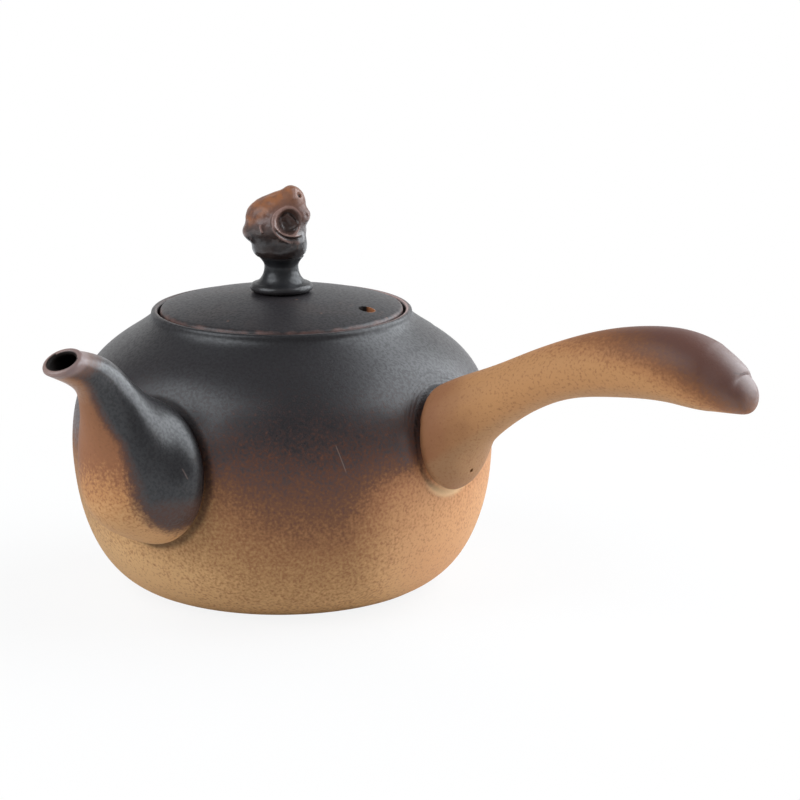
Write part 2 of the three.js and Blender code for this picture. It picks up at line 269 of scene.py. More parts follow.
def bowl_outline():
    wall = [tuple(point) for point in moved_in(wall_line(26), BOWL_WALL)]
    inside = [point for point in wall if 9.0 < point[1] < LEDGE_HEIGHT - 6.5]
    floor = curve((46.0, FLOOR_HEIGHT), (54.0, FLOOR_HEIGHT), (57.5, 6.5), inside[0], 5)
    ledge, seat = (THROAT_RADIUS, LEDGE_HEIGHT), (RECESS_RADIUS, LEDGE_HEIGHT)
    under_ledge = (THROAT_RADIUS, LEDGE_HEIGHT - 3.8)
    throat = corner(inside[-1], under_ledge, ledge, 1.2) + corner(under_ledge, ledge, seat, 0.7)
    recess = corner(ledge, seat, (RECESS_RADIUS, RIM_HEIGHT), 0.5)
    lip_outer = RECESS_RADIUS + LIP_THICKNESS
    lip = lip_round(RECESS_RADIUS, lip_outer, RIM_HEIGHT)
    neck = curve(lip[-1], (lip_outer, 93.4), (45.6, 92.4), (NECK_RADIUS, NECK_HEIGHT), 6)[1:]
    outside = wall_line(64)[::-1][1:-1]
    foot = corner(outside[-1], (FOOT_RADIUS, 0.0), (FOOT_RADIUS - 4, 0.0), 0.8)
    start = [(radius, FLOOR_HEIGHT) for radius in (0.0, 16.0, 32.0)]
    end = [(radius, 0.0) for radius in (40.0, 20.0, 0.0)]
    return start + floor + inside[1:] + throat + recess + lip + neck + outside + foot + end


print("bowl outline:", len(bowl_outline()), "points")

# %% Throw the bowl and cut its outlet
OUTLET_HEIGHT = 51.0
OUTLET_RADIUS = 14.0
MOST_BULGE = 0.1


def make_bowl():
    shape = throw(bowl_outline(), turns=320)
    for point in shape.verts:
        radius = math.hypot(point.co.x, point.co.y)
        if radius > 8 and 2 < point.co.z < LEDGE_HEIGHT - 5:
            bulge = min(wobble(point.co, 34.0, 0.35) + wobble(point.co, 12.0, 0.08), MOST_BULGE)
            point.co.x *= 1 + bulge / radius
            point.co.y *= 1 + bulge / radius
    outlet = rod(OUTLET_RADIUS, (0, -40, OUTLET_HEIGHT), (0, -90, OUTLET_HEIGHT), sides=64)
    return carve(shape, outlet)


bowl = finish_piece(make_bowl(), "thrown_bowl", "bowl", "kettle")

# %% [markdown]
# ## Limbs: the spout and the handle
# Both are tubes that swell, bend and taper in one upright plane. A limb is drawn with a
# top line, a bottom line and a run of half widths, as a maker would sketch it from the
# side and from above. One ring of points is then extruded again and again, and each new
# ring is set on the next oval between the lines. Extruding keeps the spokes of the rings
# in step, so the skin has no twist.

# %% Sections between a top line and a bottom line
THINNEST = 0.05


def smooth_line(knots, shares):
    """A smooth line through knots, whose slope at each knot follows the knots beside it."""
    knots = np.array(knots, float).reshape(len(knots), -1)
    last = len(knots) - 1
    place = np.clip(np.asarray(shares, float) * last, 0, last - 1e-9)
    i = place.astype(int)
    w = (place - i)[:, None]
    a, b, c, d = knots[np.maximum(i - 1, 0)], knots[i], knots[i + 1], knots[np.minimum(i + 2, last)]
    leave, arrive = (c - a) / 2, (d - b) / 2
    cube, square = 2 * b - 2 * c + leave + arrive, -3 * b + 3 * c - 2 * leave - arrive
    return cube * w**3 + square * w**2 + leave * w + b


def sections(limb, shares, inset=0.0, smoothing=16):
    """Rows of middle reach, middle height, rise along reach, rise in height, half width."""
    near = np.array(limb["corner"])
    size = np.array(limb["far"]) - near
    top, bottom = (near + smooth_line(limb[line], shares) * size for line in ("top", "bottom"))
    width = smooth_line(limb["widths"], shares) * limb["half_width"]
    rows = np.hstack([(top + bottom) / 2, (top - bottom) / 2, width])
    for _ in range(smoothing):
        rows[1:-1] = rows[1:-1] / 2 + (rows[:-2] + rows[2:]) / 4
    inset = np.broadcast_to(inset, (len(rows),))
    rise = np.linalg.norm(rows[:, 2:4], axis=1)
    rows[:, 2:4] *= (np.maximum(rise - inset, THINNEST) / rise)[:, None]
    rows[:, 4] = np.maximum(rows[:, 4] - inset, THINNEST)
    return rows


print("halfway from 0 over 1 to 0 a smooth line is at", smooth_line([0, 1, 0], [0.5])[0, 0])

# %% Draw a limb ring by ring


def forward(row):
    """The way that a limb runs at a section, square to its rise."""
    return np.array([row[3], -row[2]]) / np.hypot(row[2], row[3])


def on_section(row, angle, place):
    across, up = math.cos(angle), math.sin(angle)
    return Vector(place(row[0] + row[2] * up, row[4] * across, row[1] + row[3] * up))


def draw_limb(rows, place, sides=96, hollow=False):
    """One ring extruded along the rows. A hollow limb is a wall that runs out and back."""
    shape = bmesh.new()
    spoke = shape.verts.layers.int.new("spoke")
    step = shape.verts.layers.int.new("step")
    first = bmesh.ops.create_circle(shape, segments=sides, radius=1.0)["verts"]
    for i, point in enumerate(first):
        point[spoke] = i
        point.co = on_section(rows[0], 2 * math.pi * i / sides, place)
    begin = list(shape.edges)
    ring = begin
    for number, row in enumerate(rows[1:], start=1):
        grown = bmesh.ops.extrude_edge_only(shape, edges=ring)["geom"]
        points = {item for item in grown if isinstance(item, bmesh.types.BMVert)}
        edges = [item for item in grown if isinstance(item, bmesh.types.BMEdge)]
        ring = [edge for edge in edges if set(edge.verts) <= points]
        for point in points:
            point[step] = number
            point.co = on_section(row, 2 * math.pi * point[spoke] / sides, place)
    if hollow:
        bmesh.ops.bridge_loops(shape, edges=begin + ring)
    else:
        bmesh.ops.contextual_create(shape, geom=begin)
        bmesh.ops.contextual_create(shape, geom=ring)
    bmesh.ops.recalc_face_normals(shape, faces=shape.faces)
    return shape


print("a limb has", draw_limb.__defaults__[0], "spokes")

# %% [markdown]
# ## Roots
# Where a limb is luted on, its edge is pressed and wiped, so it rolls in just before it
# meets the wall and leaves a dark crease. Each point of the skin that is nearer to the
# wall than the roll's radius is drawn towards the limb's middle along a quarter circle.
# The root then runs a little way into the wall, and what lies deeper is cut off.

# %% Roll the edge of a root and trim it inside the wall
ROOT_DEPTH = 1.6
ROOT_ROLL = 2.8
CREASE_REACH = 0.7


def skin_of(shape, skin_steps):
    step = shape.verts.layers.int["step"]
    return [point for point in shape.verts if point[step] < skin_steps]


def roll_root(shape, rows, place, skin_steps):
    step = shape.verts.layers.int["step"]
    skin = skin_of(shape, skin_steps)
    gap = stand_off([point.co for point in skin])
    bite = np.clip(ROOT_ROLL - gap, 0, 0.95 * ROOT_ROLL)
    shift = ROOT_ROLL - np.sqrt(ROOT_ROLL**2 - bite**2)
    for point, amount in zip(skin, shift):
        if amount > 0:
            row = rows[point[step]]
            middle = Vector(place(row[0], 0.0, row[1]))
            point.co += (middle - point.co).normalized() * amount
    print("rolled", (shift > 0).sum(), "points of a root")


def inside_of_wall(depth):
    line = moved_in(wall_line(40), depth)
    return throw([(0.0, line[0][1]), *map(tuple, line), (0.0, line[-1][1])], turns=160)


def crease_points(shape, skin_steps):
    """Where the skin of a limb meets the wall."""
    skin = [point.co.copy() for point in skin_of(shape, skin_steps)]
    return [point for point, off in zip(skin, stand_off(skin)) if abs(off) < CREASE_REACH]


print("a root runs", ROOT_DEPTH, "mm into the wall, under a roll of", ROOT_ROLL, "mm")


# %% [markdown]
# ## The spout
# The spout swells at its root to a bulb nearly as tall as the belly and then climbs in a
# short swan neck. Its mouth is cut nearly level, a little above the rim, so that a full
# kettle doesn't spill. The wall thins from 4.5 mm at the root to under 2 mm at the lip.

# %% Sketch the spout
SPOUT = {
    "corner": (56.0, 23.26),
    "far": (116.3, 99.9),
    "half_width": 22.7,
    "top": [
        (0.02, 0.64), (0.17, 0.69), (0.31, 0.75), (0.44, 0.83),
        (0.54, 0.91), (0.65, 0.96), (0.8, 1.0),
    ],
    "bottom": [
        (0.02, 0.0), (0.41, 0.12), (0.59, 0.23), (0.63, 0.37),
        (0.66, 0.58), (0.75, 0.8), (1.0, 0.918),
    ],
    "widths": [0.9, 1.03, 0.79, 0.61, 0.42, 0.3, 0.3],
}
SPOUT_ROOT_WALL = 4.5
SPOUT_LIP_WALL = 2.4

print("the spout reaches", SPOUT["far"], "mm out and up")

# %% Form the spout


def on_spout(reach, side, height):
    return (side, -reach, height)


def spout_lip(row):
    """Rings that carry the skin over the lip and into the bore."""
    out = forward(row)
    out = out if out[1] > 0 else -out
    round_radius = SPOUT_LIP_WALL / 2
    rings = []
    for angle in np.linspace(0, math.pi, 9)[1:]:
        ring = row.copy()
        ring[:2] += out * round_radius * math.sin(angle)
        inset = round_radius * (1 - math.cos(angle))
        ring[2:4] *= 1 - inset / np.hypot(row[2], row[3])
        ring[4] -= inset
        rings.append(ring)
    return rings


def make_spout():
    shares = np.linspace(0, 0.998, 133)
    skin = sections(SPOUT, shares)
    bore_shares = shares[::-4]
    wall = SPOUT_ROOT_WALL + (SPOUT_LIP_WALL - SPOUT_ROOT_WALL) * bore_shares
    bore = sections(SPOUT, bore_shares, inset=wall, smoothing=1)[1:]
    rows = np.vstack([skin, spout_lip(skin[-1]), bore])
    shape = draw_limb(rows, on_spout, hollow=True)
    crease = crease_points(shape, len(skin))
    roll_root(shape, rows, on_spout, len(skin))
    return carve(shape, inside_of_wall(ROOT_DEPTH)), crease


spout_shape, spout_crease = make_spout()
spout = finish_piece(spout_shape, "swan_spout", "spout", "kettle", fold=60)

# %% [markdown]
# ## The handle
# The handle is a hollow clay tube that leaves the bowl a quarter turn from the spout,
# rises, and ends in a paddle that fits the palm. It is closed at its end, so a pinhole
# low on the root lets hot air out in the kiln. The skin and the hollow are two closed
# shapes, and the hollow is carved from the skin. Shrinking rings close the paddle, which
# leaves a hard shoulder, so its points are smoothed until it is as round as a fingertip.

# %% Sketch the handle
HANDLE = {
    "corner": (58.0, 38.76),
    "far": (185.1, 108.4),
    "half_width": 18.7,
    "top": [
        (0.01, 0.5), (0.11, 0.6), (0.24, 0.7), (0.38, 0.82), (0.52, 0.92),
        (0.65, 0.98), (0.78, 1.0), (0.88, 0.96), (0.957, 0.871), (0.962, 0.832),
    ],
    "bottom": [
        (0.03, 0.0), (0.15, 0.09), (0.2, 0.27), (0.28, 0.41), (0.38, 0.53),
        (0.49, 0.61), (0.63, 0.65), (0.75, 0.665), (0.858, 0.652), (0.984, 0.659),
    ],
    "widths": [1.0, 0.84, 0.6, 0.55, 0.57, 0.61, 0.65, 0.66, 0.55, 0.36],
}
HANDLE_WALL = 4.2
HANDLE_END_ROUND = 4.0
HANDLE_END_START = math.radians(16)
PADDLE_START = 170.0
PADDLE_SMOOTHING = 30
PINHOLE_RADIUS = 0.8

print("the handle reaches", HANDLE["far"], "mm out and up")

# %% Form the handle


def on_handle(reach, side, height):
    return (reach, side, height)


def rounded_end(row):
    """Rings that close the paddle with a blunt round end."""
    out = forward(row)
    rings = []
    for angle in np.linspace(HANDLE_END_START, math.radians(87), 14)[1:]:
        ring = row.copy()
        ring[:2] += out * HANDLE_END_ROUND * (math.sin(angle) - math.sin(HANDLE_END_START))
        ring[2:] *= math.cos(angle) / math.cos(HANDLE_END_START)
        rings.append(ring)
    return rings


def make_handle():
    shares = np.concatenate([np.linspace(0, 0.9, 150), np.linspace(0.9, 1.0, 22)[1:]])
    skin = sections(HANDLE, shares)
    rows = np.vstack([skin, rounded_end(skin[-1])])
    shape = draw_limb(rows, on_handle)
    paddle = [point for point in shape.verts if point.co.x > PADDLE_START]
    for _ in range(PADDLE_SMOOTHING):
        bmesh.ops.smooth_vert(
            shape, verts=paddle, factor=0.5, use_axis_x=True, use_axis_y=True, use_axis_z=True
        )
    crease = crease_points(shape, len(skin))
    roll_root(shape, rows, on_handle, len(skin))
    inner = sections(HANDLE, np.linspace(0, 0.82, 44), inset=HANDLE_WALL, smoothing=2)
    hollow = draw_limb(inner, on_handle, sides=48)
    pinhole = rod(PINHOLE_RADIUS, (70.0, -0.5, 55.7), (84.0, -2.0, 49.4), sides=20)
    return carve(shape, hollow, pinhole, inside_of_wall(ROOT_DEPTH)), crease


handle_shape, handle_crease = make_handle()
handle = finish_piece(handle_shape, "hollow_handle", "handle", "kettle", fold=60)

# %% [markdown]
# ## Wiping the joints
# The maker presses the wall and wipes it with a wet finger round each root. That leaves
# a shallow trough beside the crease, narrower at the handle than at the spout. The bowl's
# points near a crease sink a little, and each keeps its distance from the crease for the
# finish to read later.

# %% Sink the wall beside the creases
TROUGH_DEPTH = 0.7
TROUGH_REACH = 6.0
HANDLE_NARROWING = 2.0
FAR_FROM_ROOT = 40.0


def wipe_joints(piece, sink=False):
    creases = spout_crease + handle_crease
    tree = kdtree.KDTree(len(creases))
    for number, point in enumerate(creases):
        tree.insert(point, number)
    tree.balance()
    from_root = piece.data.attributes.new("from_root", "FLOAT", "POINT")
    places = [vertex.co / METRES_PER_MM for vertex in piece.data.vertices]
    for vertex, place, off in zip(piece.data.vertices, places, stand_off(places)):
        number, away = tree.find(place)[1:]
        away *= 1.0 if number < len(spout_crease) else HANDLE_NARROWING
        from_root.data[vertex.index].value = min(away, FAR_FROM_ROOT)
        if sink and off > -1.0:
            flat = Vector((vertex.co.x, vertex.co.y, 0)).normalized()
            share = math.exp(-((away / TROUGH_REACH) ** 2))
            vertex.co -= flat * TROUGH_DEPTH * METRES_PER_MM * share


wipe_joints(bowl, sink=True)
wipe_joints(spout)
wipe_joints(handle)
print("creases:", len(spout_crease), "and", len(handle_crease), "points")

# %% [markdown]
# ## The strainer
# Behind the outlet a small pierced dome holds back the leaves. It is a thin shell cut
# from a ball: the ball is bisected where it meets the wall, the shell gets its thickness
# and the holes are drilled towards the dome's middle in rings.

# %% Pierce the strainer dome
STRAINER_RADIUS = 17.0
STRAINER_SHELL = 2.4
STRAINER_MIDDLE = Vector((0, -73.4, OUTLET_HEIGHT))
STRAINER_SEAT = Vector((0, -66.5, OUTLET_HEIGHT))
DRILL_RADIUS = 1.2
RING_TILT = 15.5


def drill_holes():
    """One hole in the middle, then rings of 6, 12 and 18 holes."""
    holes = [rod(DRILL_RADIUS, STRAINER_MIDDLE, STRAINER_MIDDLE + Vector((0, 23, 0)), sides=16)]
    for ring in (1, 2, 3):
        for number in range(6 * ring):
            tilt, turn = math.radians(RING_TILT * ring), math.radians(60 / ring * number)
            aside = math.sin(tilt)
            aim = Vector((aside * math.sin(turn), math.cos(tilt), aside * math.cos(turn)))
            start, end = STRAINER_MIDDLE + aim * 11, STRAINER_MIDDLE + aim * 21
            holes.append(rod(DRILL_RADIUS, start, end, sides=16))
    return holes


def make_strainer():
    shape = bmesh.new()
    bmesh.ops.create_uvsphere(shape, u_segments=64, v_segments=32, radius=STRAINER_RADIUS)
    bmesh.ops.translate(shape, vec=STRAINER_MIDDLE, verts=shape.verts)
    whole = list(shape.verts) + list(shape.edges) + list(shape.faces)
    bmesh.ops.bisect_plane(
        shape, geom=whole, dist=0.0001, clear_outer=True,
        plane_co=STRAINER_SEAT, plane_no=(0, -1, 0),
    )
    bmesh.ops.recalc_face_normals(shape, faces=shape.faces)
    bmesh.ops.solidify(shape, geom=list(shape.faces), thickness=STRAINER_SHELL)
    bmesh.ops.recalc_face_normals(shape, faces=shape.faces)
    return carve(shape, *drill_holes())


strainer = finish_piece(
    make_strainer(), "pierced_strainer", "strainer_dome", "kettle", fold=50
)

# %% [markdown]
# ## The lid
# The lid is thrown too: a shallow dome about as thick as the wall, with a soft edge that
# drops into the recess. A collar under it keeps it from sliding out when the kettle is
# tipped. A steam hole pierces the dome near its edge.

# %% Throw the lid and its collar
LID_RADIUS = RECESS_RADIUS - 0.7
LID_BOTTOM = LEDGE_HEIGHT + 0.3
LID_EDGE_TOP = LID_BOTTOM + 4.1
LID_RISE = 5.6
LID_THICKNESS = 3.6
COLLAR_INNER = 36.0
COLLAR_OUTER = 38.4
COLLAR_DEPTH = 7.0
STEAM_REACH = 32.8
STEAM_TURN = math.radians(9)
STEAM_RADIUS = 2.8


def dome(radius):
    return LID_EDGE_TOP + LID_RISE * (1 - (radius / LID_RADIUS) ** 2)


def lid_outline():
    over = [(radius, dome(radius)) for radius in np.linspace(0, LID_RADIUS - 1.4, 22)]
    leave, arrive = (LID_RADIUS - 0.6, LID_EDGE_TOP + 0.15), (LID_RADIUS, LID_EDGE_TOP - 0.3)
    edge = curve(over[-1], leave, arrive, (LID_RADIUS, LID_EDGE_TOP - 1.4), 6)
    inner = (COLLAR_INNER, LID_BOTTOM)
    below = corner(edge[-1], (LID_RADIUS, LID_BOTTOM), inner, 0.5)
    under = [(radius, dome(radius) - LID_THICKNESS) for radius in np.linspace(34.6, 0, 14)]
    return over + edge[1:] + below + [inner] + under


def make_lid():
    hole = Vector((math.cos(STEAM_TURN), math.sin(STEAM_TURN), 0)) * STEAM_REACH
    top, bottom = hole + Vector((0, 0, 112)), hole + Vector((0, 0, 88))
    return carve(throw(lid_outline(), turns=160), rod(STEAM_RADIUS, bottom, top, sides=48))


def collar_outline():
    top, bottom = LID_BOTTOM - 0.3, LID_BOTTOM - COLLAR_DEPTH
    inner, outer = (COLLAR_INNER, bottom), (COLLAR_OUTER, bottom)
    foot = corner((COLLAR_INNER, top), inner, outer, 0.8)
    foot += corner(inner, outer, (COLLAR_OUTER, top), 0.8)
    return [(COLLAR_INNER, top), *foot, (COLLAR_OUTER, top)]


lid = finish_piece(make_lid(), "domed_lid", "lid_disc", "lid")
collar_shape = throw(collar_outline(), turns=128, closed=True)
collar = finish_piece(collar_shape, "lid_collar", "lid_flange", "lid")

# %% [markdown]
# ## The knob
# The knob stands on a turned pedestal: a bead that rests on the dome, a slim waist and a
# spread top. Its outline is a few curves, each from one turn of the profile to the next.

# %% Turn the pedestal
PEDESTAL_BOTTOM = dome(0) + 0.3
PEDESTAL_TOP = PEDESTAL_BOTTOM + 11.8


def pedestal_outline():
    foot = dome(10.7) + 0.3
    bead_top, bead_end, narrowest = (10.2, foot + 2.5), (8.0, foot + 3.5), (5.8, foot + 8.6)
    bead = curve((9.1, foot), (10.6, foot + 0.05), (11.2, foot + 1.5), bead_top, 8)
    bead += curve(bead_top, (9.5, foot + 3.0), (8.7, foot + 2.9), bead_end, 5)[1:]
    waist = curve(bead_end, (6.3, foot + 4.9), (5.8, foot + 7.0), narrowest, 10)[1:]
    head = curve(waist[-1], (5.8, foot + 9.8), (6.7, foot + 10.9), (7.7, PEDESTAL_TOP - 0.2), 8)[1:]
    top = [(radius, PEDESTAL_TOP) for radius in (7.5, 3.6, 0.0)]
    return [(0.0, PEDESTAL_BOTTOM), (5.0, PEDESTAL_BOTTOM)] + bead + waist + head + top


pedestal_shape = throw(pedestal_outline(), turns=96)
pedestal = finish_piece(pedestal_shape, "turned_pedestal", "knob_pedestal", "lid")

# %% [markdown]
# ## The finial
# The finial is a lump pinched and rolled by hand, with a scroll pressed into its front.
# A hand-modelled lump has no outline to turn, so it starts as a fine ball. A recipe of
# soft pebbles that melt into each other gives the form, thumbs press the hollows, and
# each point of the ball moves along its own ray until it meets that form.

# %% Pebbles that melt into each other
FINIAL_BOTTOM = PEDESTAL_TOP + 0.05
FINIAL_TURN = math.radians(36)

# right, front and up from the middle of the foot, then the half sizes, in millimetres
PEBBLES = [
    ((-1.5, 0.0, 10.3), (10.2, 9.7, 10.6)),
    ((3.5, 0.0, 17.6), (4.9, 6.2, 6.5)),
    ((0.2, 0.0, 16.8), (6.0, 6.6, 5.1)),
    ((-3.4, 0.0, 14.9), (6.7, 7.1, 4.8)),
    ((-6.3, 0.0, 13.6), (5.6, 6.6, 4.8)),
    ((-9.0, 1.0, 8.6), (4.0, 4.6, 3.6)),
    ((6.6, 1.2, 13.9), (3.5, 4.1, 3.4)),
    ((3.5, 2.9, 5.0), (5.3, 5.8, 5.2)),
    ((-0.6, 0.0, 2.7), (9.3, 8.9, 4.9)),
]
SCROLL_EYE = (3.3, 9.4, 13.1)
PRESSES = [
    (SCROLL_EYE, (4.4, 5.4, 4.7)),
    ((2.3, 10.4, 14.6), (3.6, 3.4, 3.6)),
    ((6.5, 3.2, 21.4), (0.7, 0.8, 0.9)),
    ((9.2, 5.0, 14.6), (0.7, 1.3, 1.1)),
]


def pebble(points, recipe):
    """Distance from a pebble's skin, negative inside."""
    (right, front, up), size = recipe
    flat = (points - np.array((right, -front, up))) / size
    reach = np.linalg.norm(flat, axis=1)
    return reach * (reach - 1) / np.maximum(np.linalg.norm(flat / size, axis=1), 1e-6)


def melt(first, second, softness):
    blend = np.clip(0.5 + 0.5 * (second - first) / softness, 0, 1)
    return second * (1 - blend) + first * blend - softness * blend * (1 - blend)


def finial_form(points):
    """The lump in its own frame: x to the right, y to the back, z up from its foot."""
    form = pebble(points, PEBBLES[0])
    for recipe in PEBBLES[1:]:
        form = melt(form, pebble(points, recipe), 1.6)
    for recipe in PRESSES:
        form = -melt(-form, pebble(points, recipe), 0.8)
    return form


print("the finial's recipe:", len(PEBBLES), "pebbles and", len(PRESSES), "presses")


# %% [markdown]
# ## Strokes on the finial
# A wooden tool draws ridges and grooves over the lump: the two lips of the scroll with a
# groove between them, a soft roll in its eye, a crest on the brow and shallow folds on the
# left. Each stroke is a smooth path as seen from the front, with a height and a width, and
# it fades out at its ends. A height below zero is a groove.

# %% Draw the strokes
FRONT_SLOPE = math.tan(math.radians(13.8))

# path of (right, up) seen from the front, then height and width
STROKES = [
    (
        [
            (2.6, 16.2), (0.1, 14.8), (-1.7, 12.9), (-2.2, 10.6),
            (-1.8, 8.3), (-0.4, 6.2), (1.8, 4.7), (4.6, 3.6),
        ],
        0.7, 0.8,
    ),
    ([(-1.7, 10.6), (-1.2, 9.0), (0.6, 7.3), (2.7, 6.4), (5.0, 6.3), (7.6, 7.0)], 0.7, 0.5),
    ([(-1.9, 9.0), (-0.3, 6.9), (2.2, 5.6), (4.8, 5.1), (7.6, 5.8)], -0.8, 0.42),
    ([(0.9, 13.6), (3.0, 11.7), (5.2, 9.0)], 1.5, 1.5),
    ([(-6.5, 10.2), (-6.3, 8.7), (-5.6, 6.9)], 0.6, 0.5),
    ([(-9.6, 5.9), (-6.2, 4.9), (-2.5, 4.7), (-0.3, 4.3)], -0.4, 1.3),
    ([(4.6, 23.0), (4.9, 21.0), (4.9, 18.6)], 0.35, 0.8),
    ([(-9.0, 12.6), (-6.0, 12.0), (-4.6, 13.4)], -0.35, 1.3),
]


def stroke_lift(places):
    seen = np.stack([places[:, 0], places[:, 2] + FRONT_SLOPE * places[:, 1]], axis=1)
    lift = np.zeros(len(places))
    for path, height, width in STROKES:
        shares = np.linspace(0, 1, 60)
        fade = np.clip(5 * np.minimum(shares, 1 - shares), 0, 1)
        away = np.linalg.norm(seen[:, None, :] - smooth_line(path, shares)[None], axis=2)
        near = away.argmin(axis=1)
        lift += height * fade[near] * np.exp(-((away.min(axis=1) / width) ** 2))
    return lift * np.clip(-places[:, 1] / 3.0, 0, 1)


print("strokes on the finial:", len(STROKES))

# %% Press the ball out to the form
LUMP_MIDDLE = (0.6, 0.0, 11.0)
OUTSIDE = 20.0
ROUNDS_INWARD = 70


def pressed_out(rays, middle):
    """How far along each ray the form's skin lies, found from outside."""
    reach = np.full(len(rays), OUTSIDE)
    for _ in range(ROUNDS_INWARD):
        reach -= np.clip(finial_form(middle + rays * reach[:, None]), -1.0, 1.5) * 0.7
    return reach


def make_finial():
    shape = bmesh.new()
    bmesh.ops.create_icosphere(shape, subdivisions=7, radius=1.0)
    middle = np.array(LUMP_MIDDLE)
    rays = np.array([point.co.normalized() for point in shape.verts])
    reach = pressed_out(rays, middle)
    reach += stroke_lift(middle + rays * reach[:, None])
    places = middle + rays * reach[:, None]
    for point, place, ray in zip(shape.verts, places, rays):
        lift = wobble(place, 3.1, 0.22) + wobble(place, 1.3, 0.07) if place[2] > 1 else 0.0
        point.co = Vector(place) + Vector(ray) * lift
        point.co.z = max(point.co.z, 0.0)
    turn = Matrix.Translation((0, 0, FINIAL_BOTTOM)) @ Matrix.Rotation(FINIAL_TURN, 4, "Z")
    bmesh.ops.transform(shape, matrix=turn, verts=shape.verts)
    bmesh.ops.recalc_face_normals(shape, faces=shape.faces)
    return shape


finial = finish_piece(make_finial(), "scroll_finial", "knob_finial", "lid", fold=70)

# %% [markdown]
# ## Ridges and hollows
# Where hands touch a ridge the dark skin wears thin and the clay shows through, and a
# hollow gets painted shade. The lid, the pedestal and the finial get a number at every
# point that says how far the point stands above or below its neighbourhood. The surface
# is averaged several times, and the height over that averaged copy is the number.

# %% Paint how proud each point stands


def vectors_of(piece, name):
    vectors = np.empty(len(piece.data.vertices) * 3)
    piece.data.vertices.foreach_get(name, vectors)
    return vectors.reshape(-1, 3)


def paint(piece, name, values):
    layer = piece.data.attributes.new(name, "FLOAT", "POINT")
    layer.data.foreach_set("value", np.asarray(values, np.float32))


def paint_relief(piece, rounds, full):
    places = vectors_of(piece, "co")
    count = len(places)
    pairs = np.empty(len(piece.data.edges) * 2, int)
    piece.data.edges.foreach_get("vertices", pairs)
    a, b = pairs.reshape(-1, 2).T
    links = np.bincount(a, minlength=count) + np.bincount(b, minlength=count)
    smooth = places.copy()
    for _ in range(rounds):
        columns = [np.bincount(a, c[b], count) + np.bincount(b, c[a], count) for c in smooth.T]
        smooth = smooth / 2 + np.transpose(columns) / (2 * np.maximum(links, 1)[:, None])
    proud = ((places - smooth) * vectors_of(piece, "normal")).sum(axis=1) / (full * METRES_PER_MM)
    paint(piece, "relief", np.clip(proud, -1, 1))
    print(f"{piece.name}: relief from {proud.min():.2f} to {proud.max():.2f}")


paint_relief(lid, 10, 0.5)
paint_relief(pedestal, 8, 0.3)
paint_relief(finial, 40, 0.45)

# %% [markdown]
# ## Where the smoke and the flame went
# In the kiln the smoke hung round the top and the flame licked along the bottom. It
# reached further up beside the spout and under the handle, so a tongue of smoke hangs
# down between them. Each piece gets this as a number at every point: 0 is clay that the
# flame kept clean and 1 is clay full of smoke. Here right is the handle's way and back is
# the way that leads from the spout.

# %% Paint the bowl: smoke, bare inner clay and the wiped lip
RIGHT_HAND = (0.809, 0.588, 0.0)


def places_of(piece):
    return vectors_of(piece, "co") / METRES_PER_MM


def values_of(piece, name):
    values = np.empty(len(piece.data.vertices))
    piece.data.attributes[name].data.foreach_get("value", values)
    return values


def rising(values, low, high):
    share = np.clip((values - low) / (high - low), 0, 1)
    return share * share * (3 - 2 * share)


def paint_bowl():
    places, from_root = places_of(bowl), values_of(bowl, "from_root")
    right, back, up = places.T
    radius, off = np.hypot(right, back), stand_off(places)
    low = 1 - rising(up, 45, 62)
    handle_edge = 45 - 35 * rising(back, 0, 40)
    under_handle = low * rising(0.97 * right + 0.25 * back, handle_edge, 64)
    beside_spout = low * rising(-0.35 * right - 0.94 * back, 40, 64)
    paint(bowl, "smoke", (up - 29 * under_handle - 18 * beside_spout) / 95)
    paint(bowl, "licked", under_handle)
    mouth = (off < -2.6) & (up > 2) & (radius < 42.8)
    paint(bowl, "inner", mouth | (off < -3.2) & (up > 4))
    paint(bowl, "lip_line", rising(up, 95.0, 95.6) * rising(-radius, -43.7, -42.9))
    # The worn line is drawn paler towards the handle's side.
    paint(bowl, "rubbed", rising(RIGHT_HAND[0] * right + RIGHT_HAND[1] * back, -5, 34))
    # Painted highlight: a pale band on the wall along the low edge of the handle's root.
    low_right = (1 - rising(up, 42, 50)) * rising(right, 40, 50)
    paint(bowl, "root_edge_highlight", low_right * (1 - rising(from_root, 2.4, 4.4)))
    high_right = rising(up, 66, 73) * rising(right, 20, 40)
    paint(bowl, "tooled", high_right * (1 - rising(from_root, 9, 15)))


paint_bowl()
print("smoke on the bowl: up to", round(values_of(bowl, "smoke").max(), 2))

# %% [markdown]
# ## Smoke on the spout and the handle
# The spout's smoke came from its right and from above. Its edge wanders, so it is given
# as a run of offsets along the spout, and each point is judged by how far it lies past
# them. Low down and close to the mouth the smoke stayed thin, so it is held back there.
# On the handle the smoke thickens outwards and upwards.

# %% Paint the spout
# share of the way up the spout, then how far right of its middle the smoke begins
SMOKE_EDGE = [
    (0.15, 3.5), (0.22, 2.4), (0.29, 2.9), (0.34, 5.2), (0.42, 6.8), (0.51, 6.6),
    (0.59, 3.9), (0.69, 1.3), (0.76, 0.6), (0.85, 0.9), (0.93, 3.5),
]


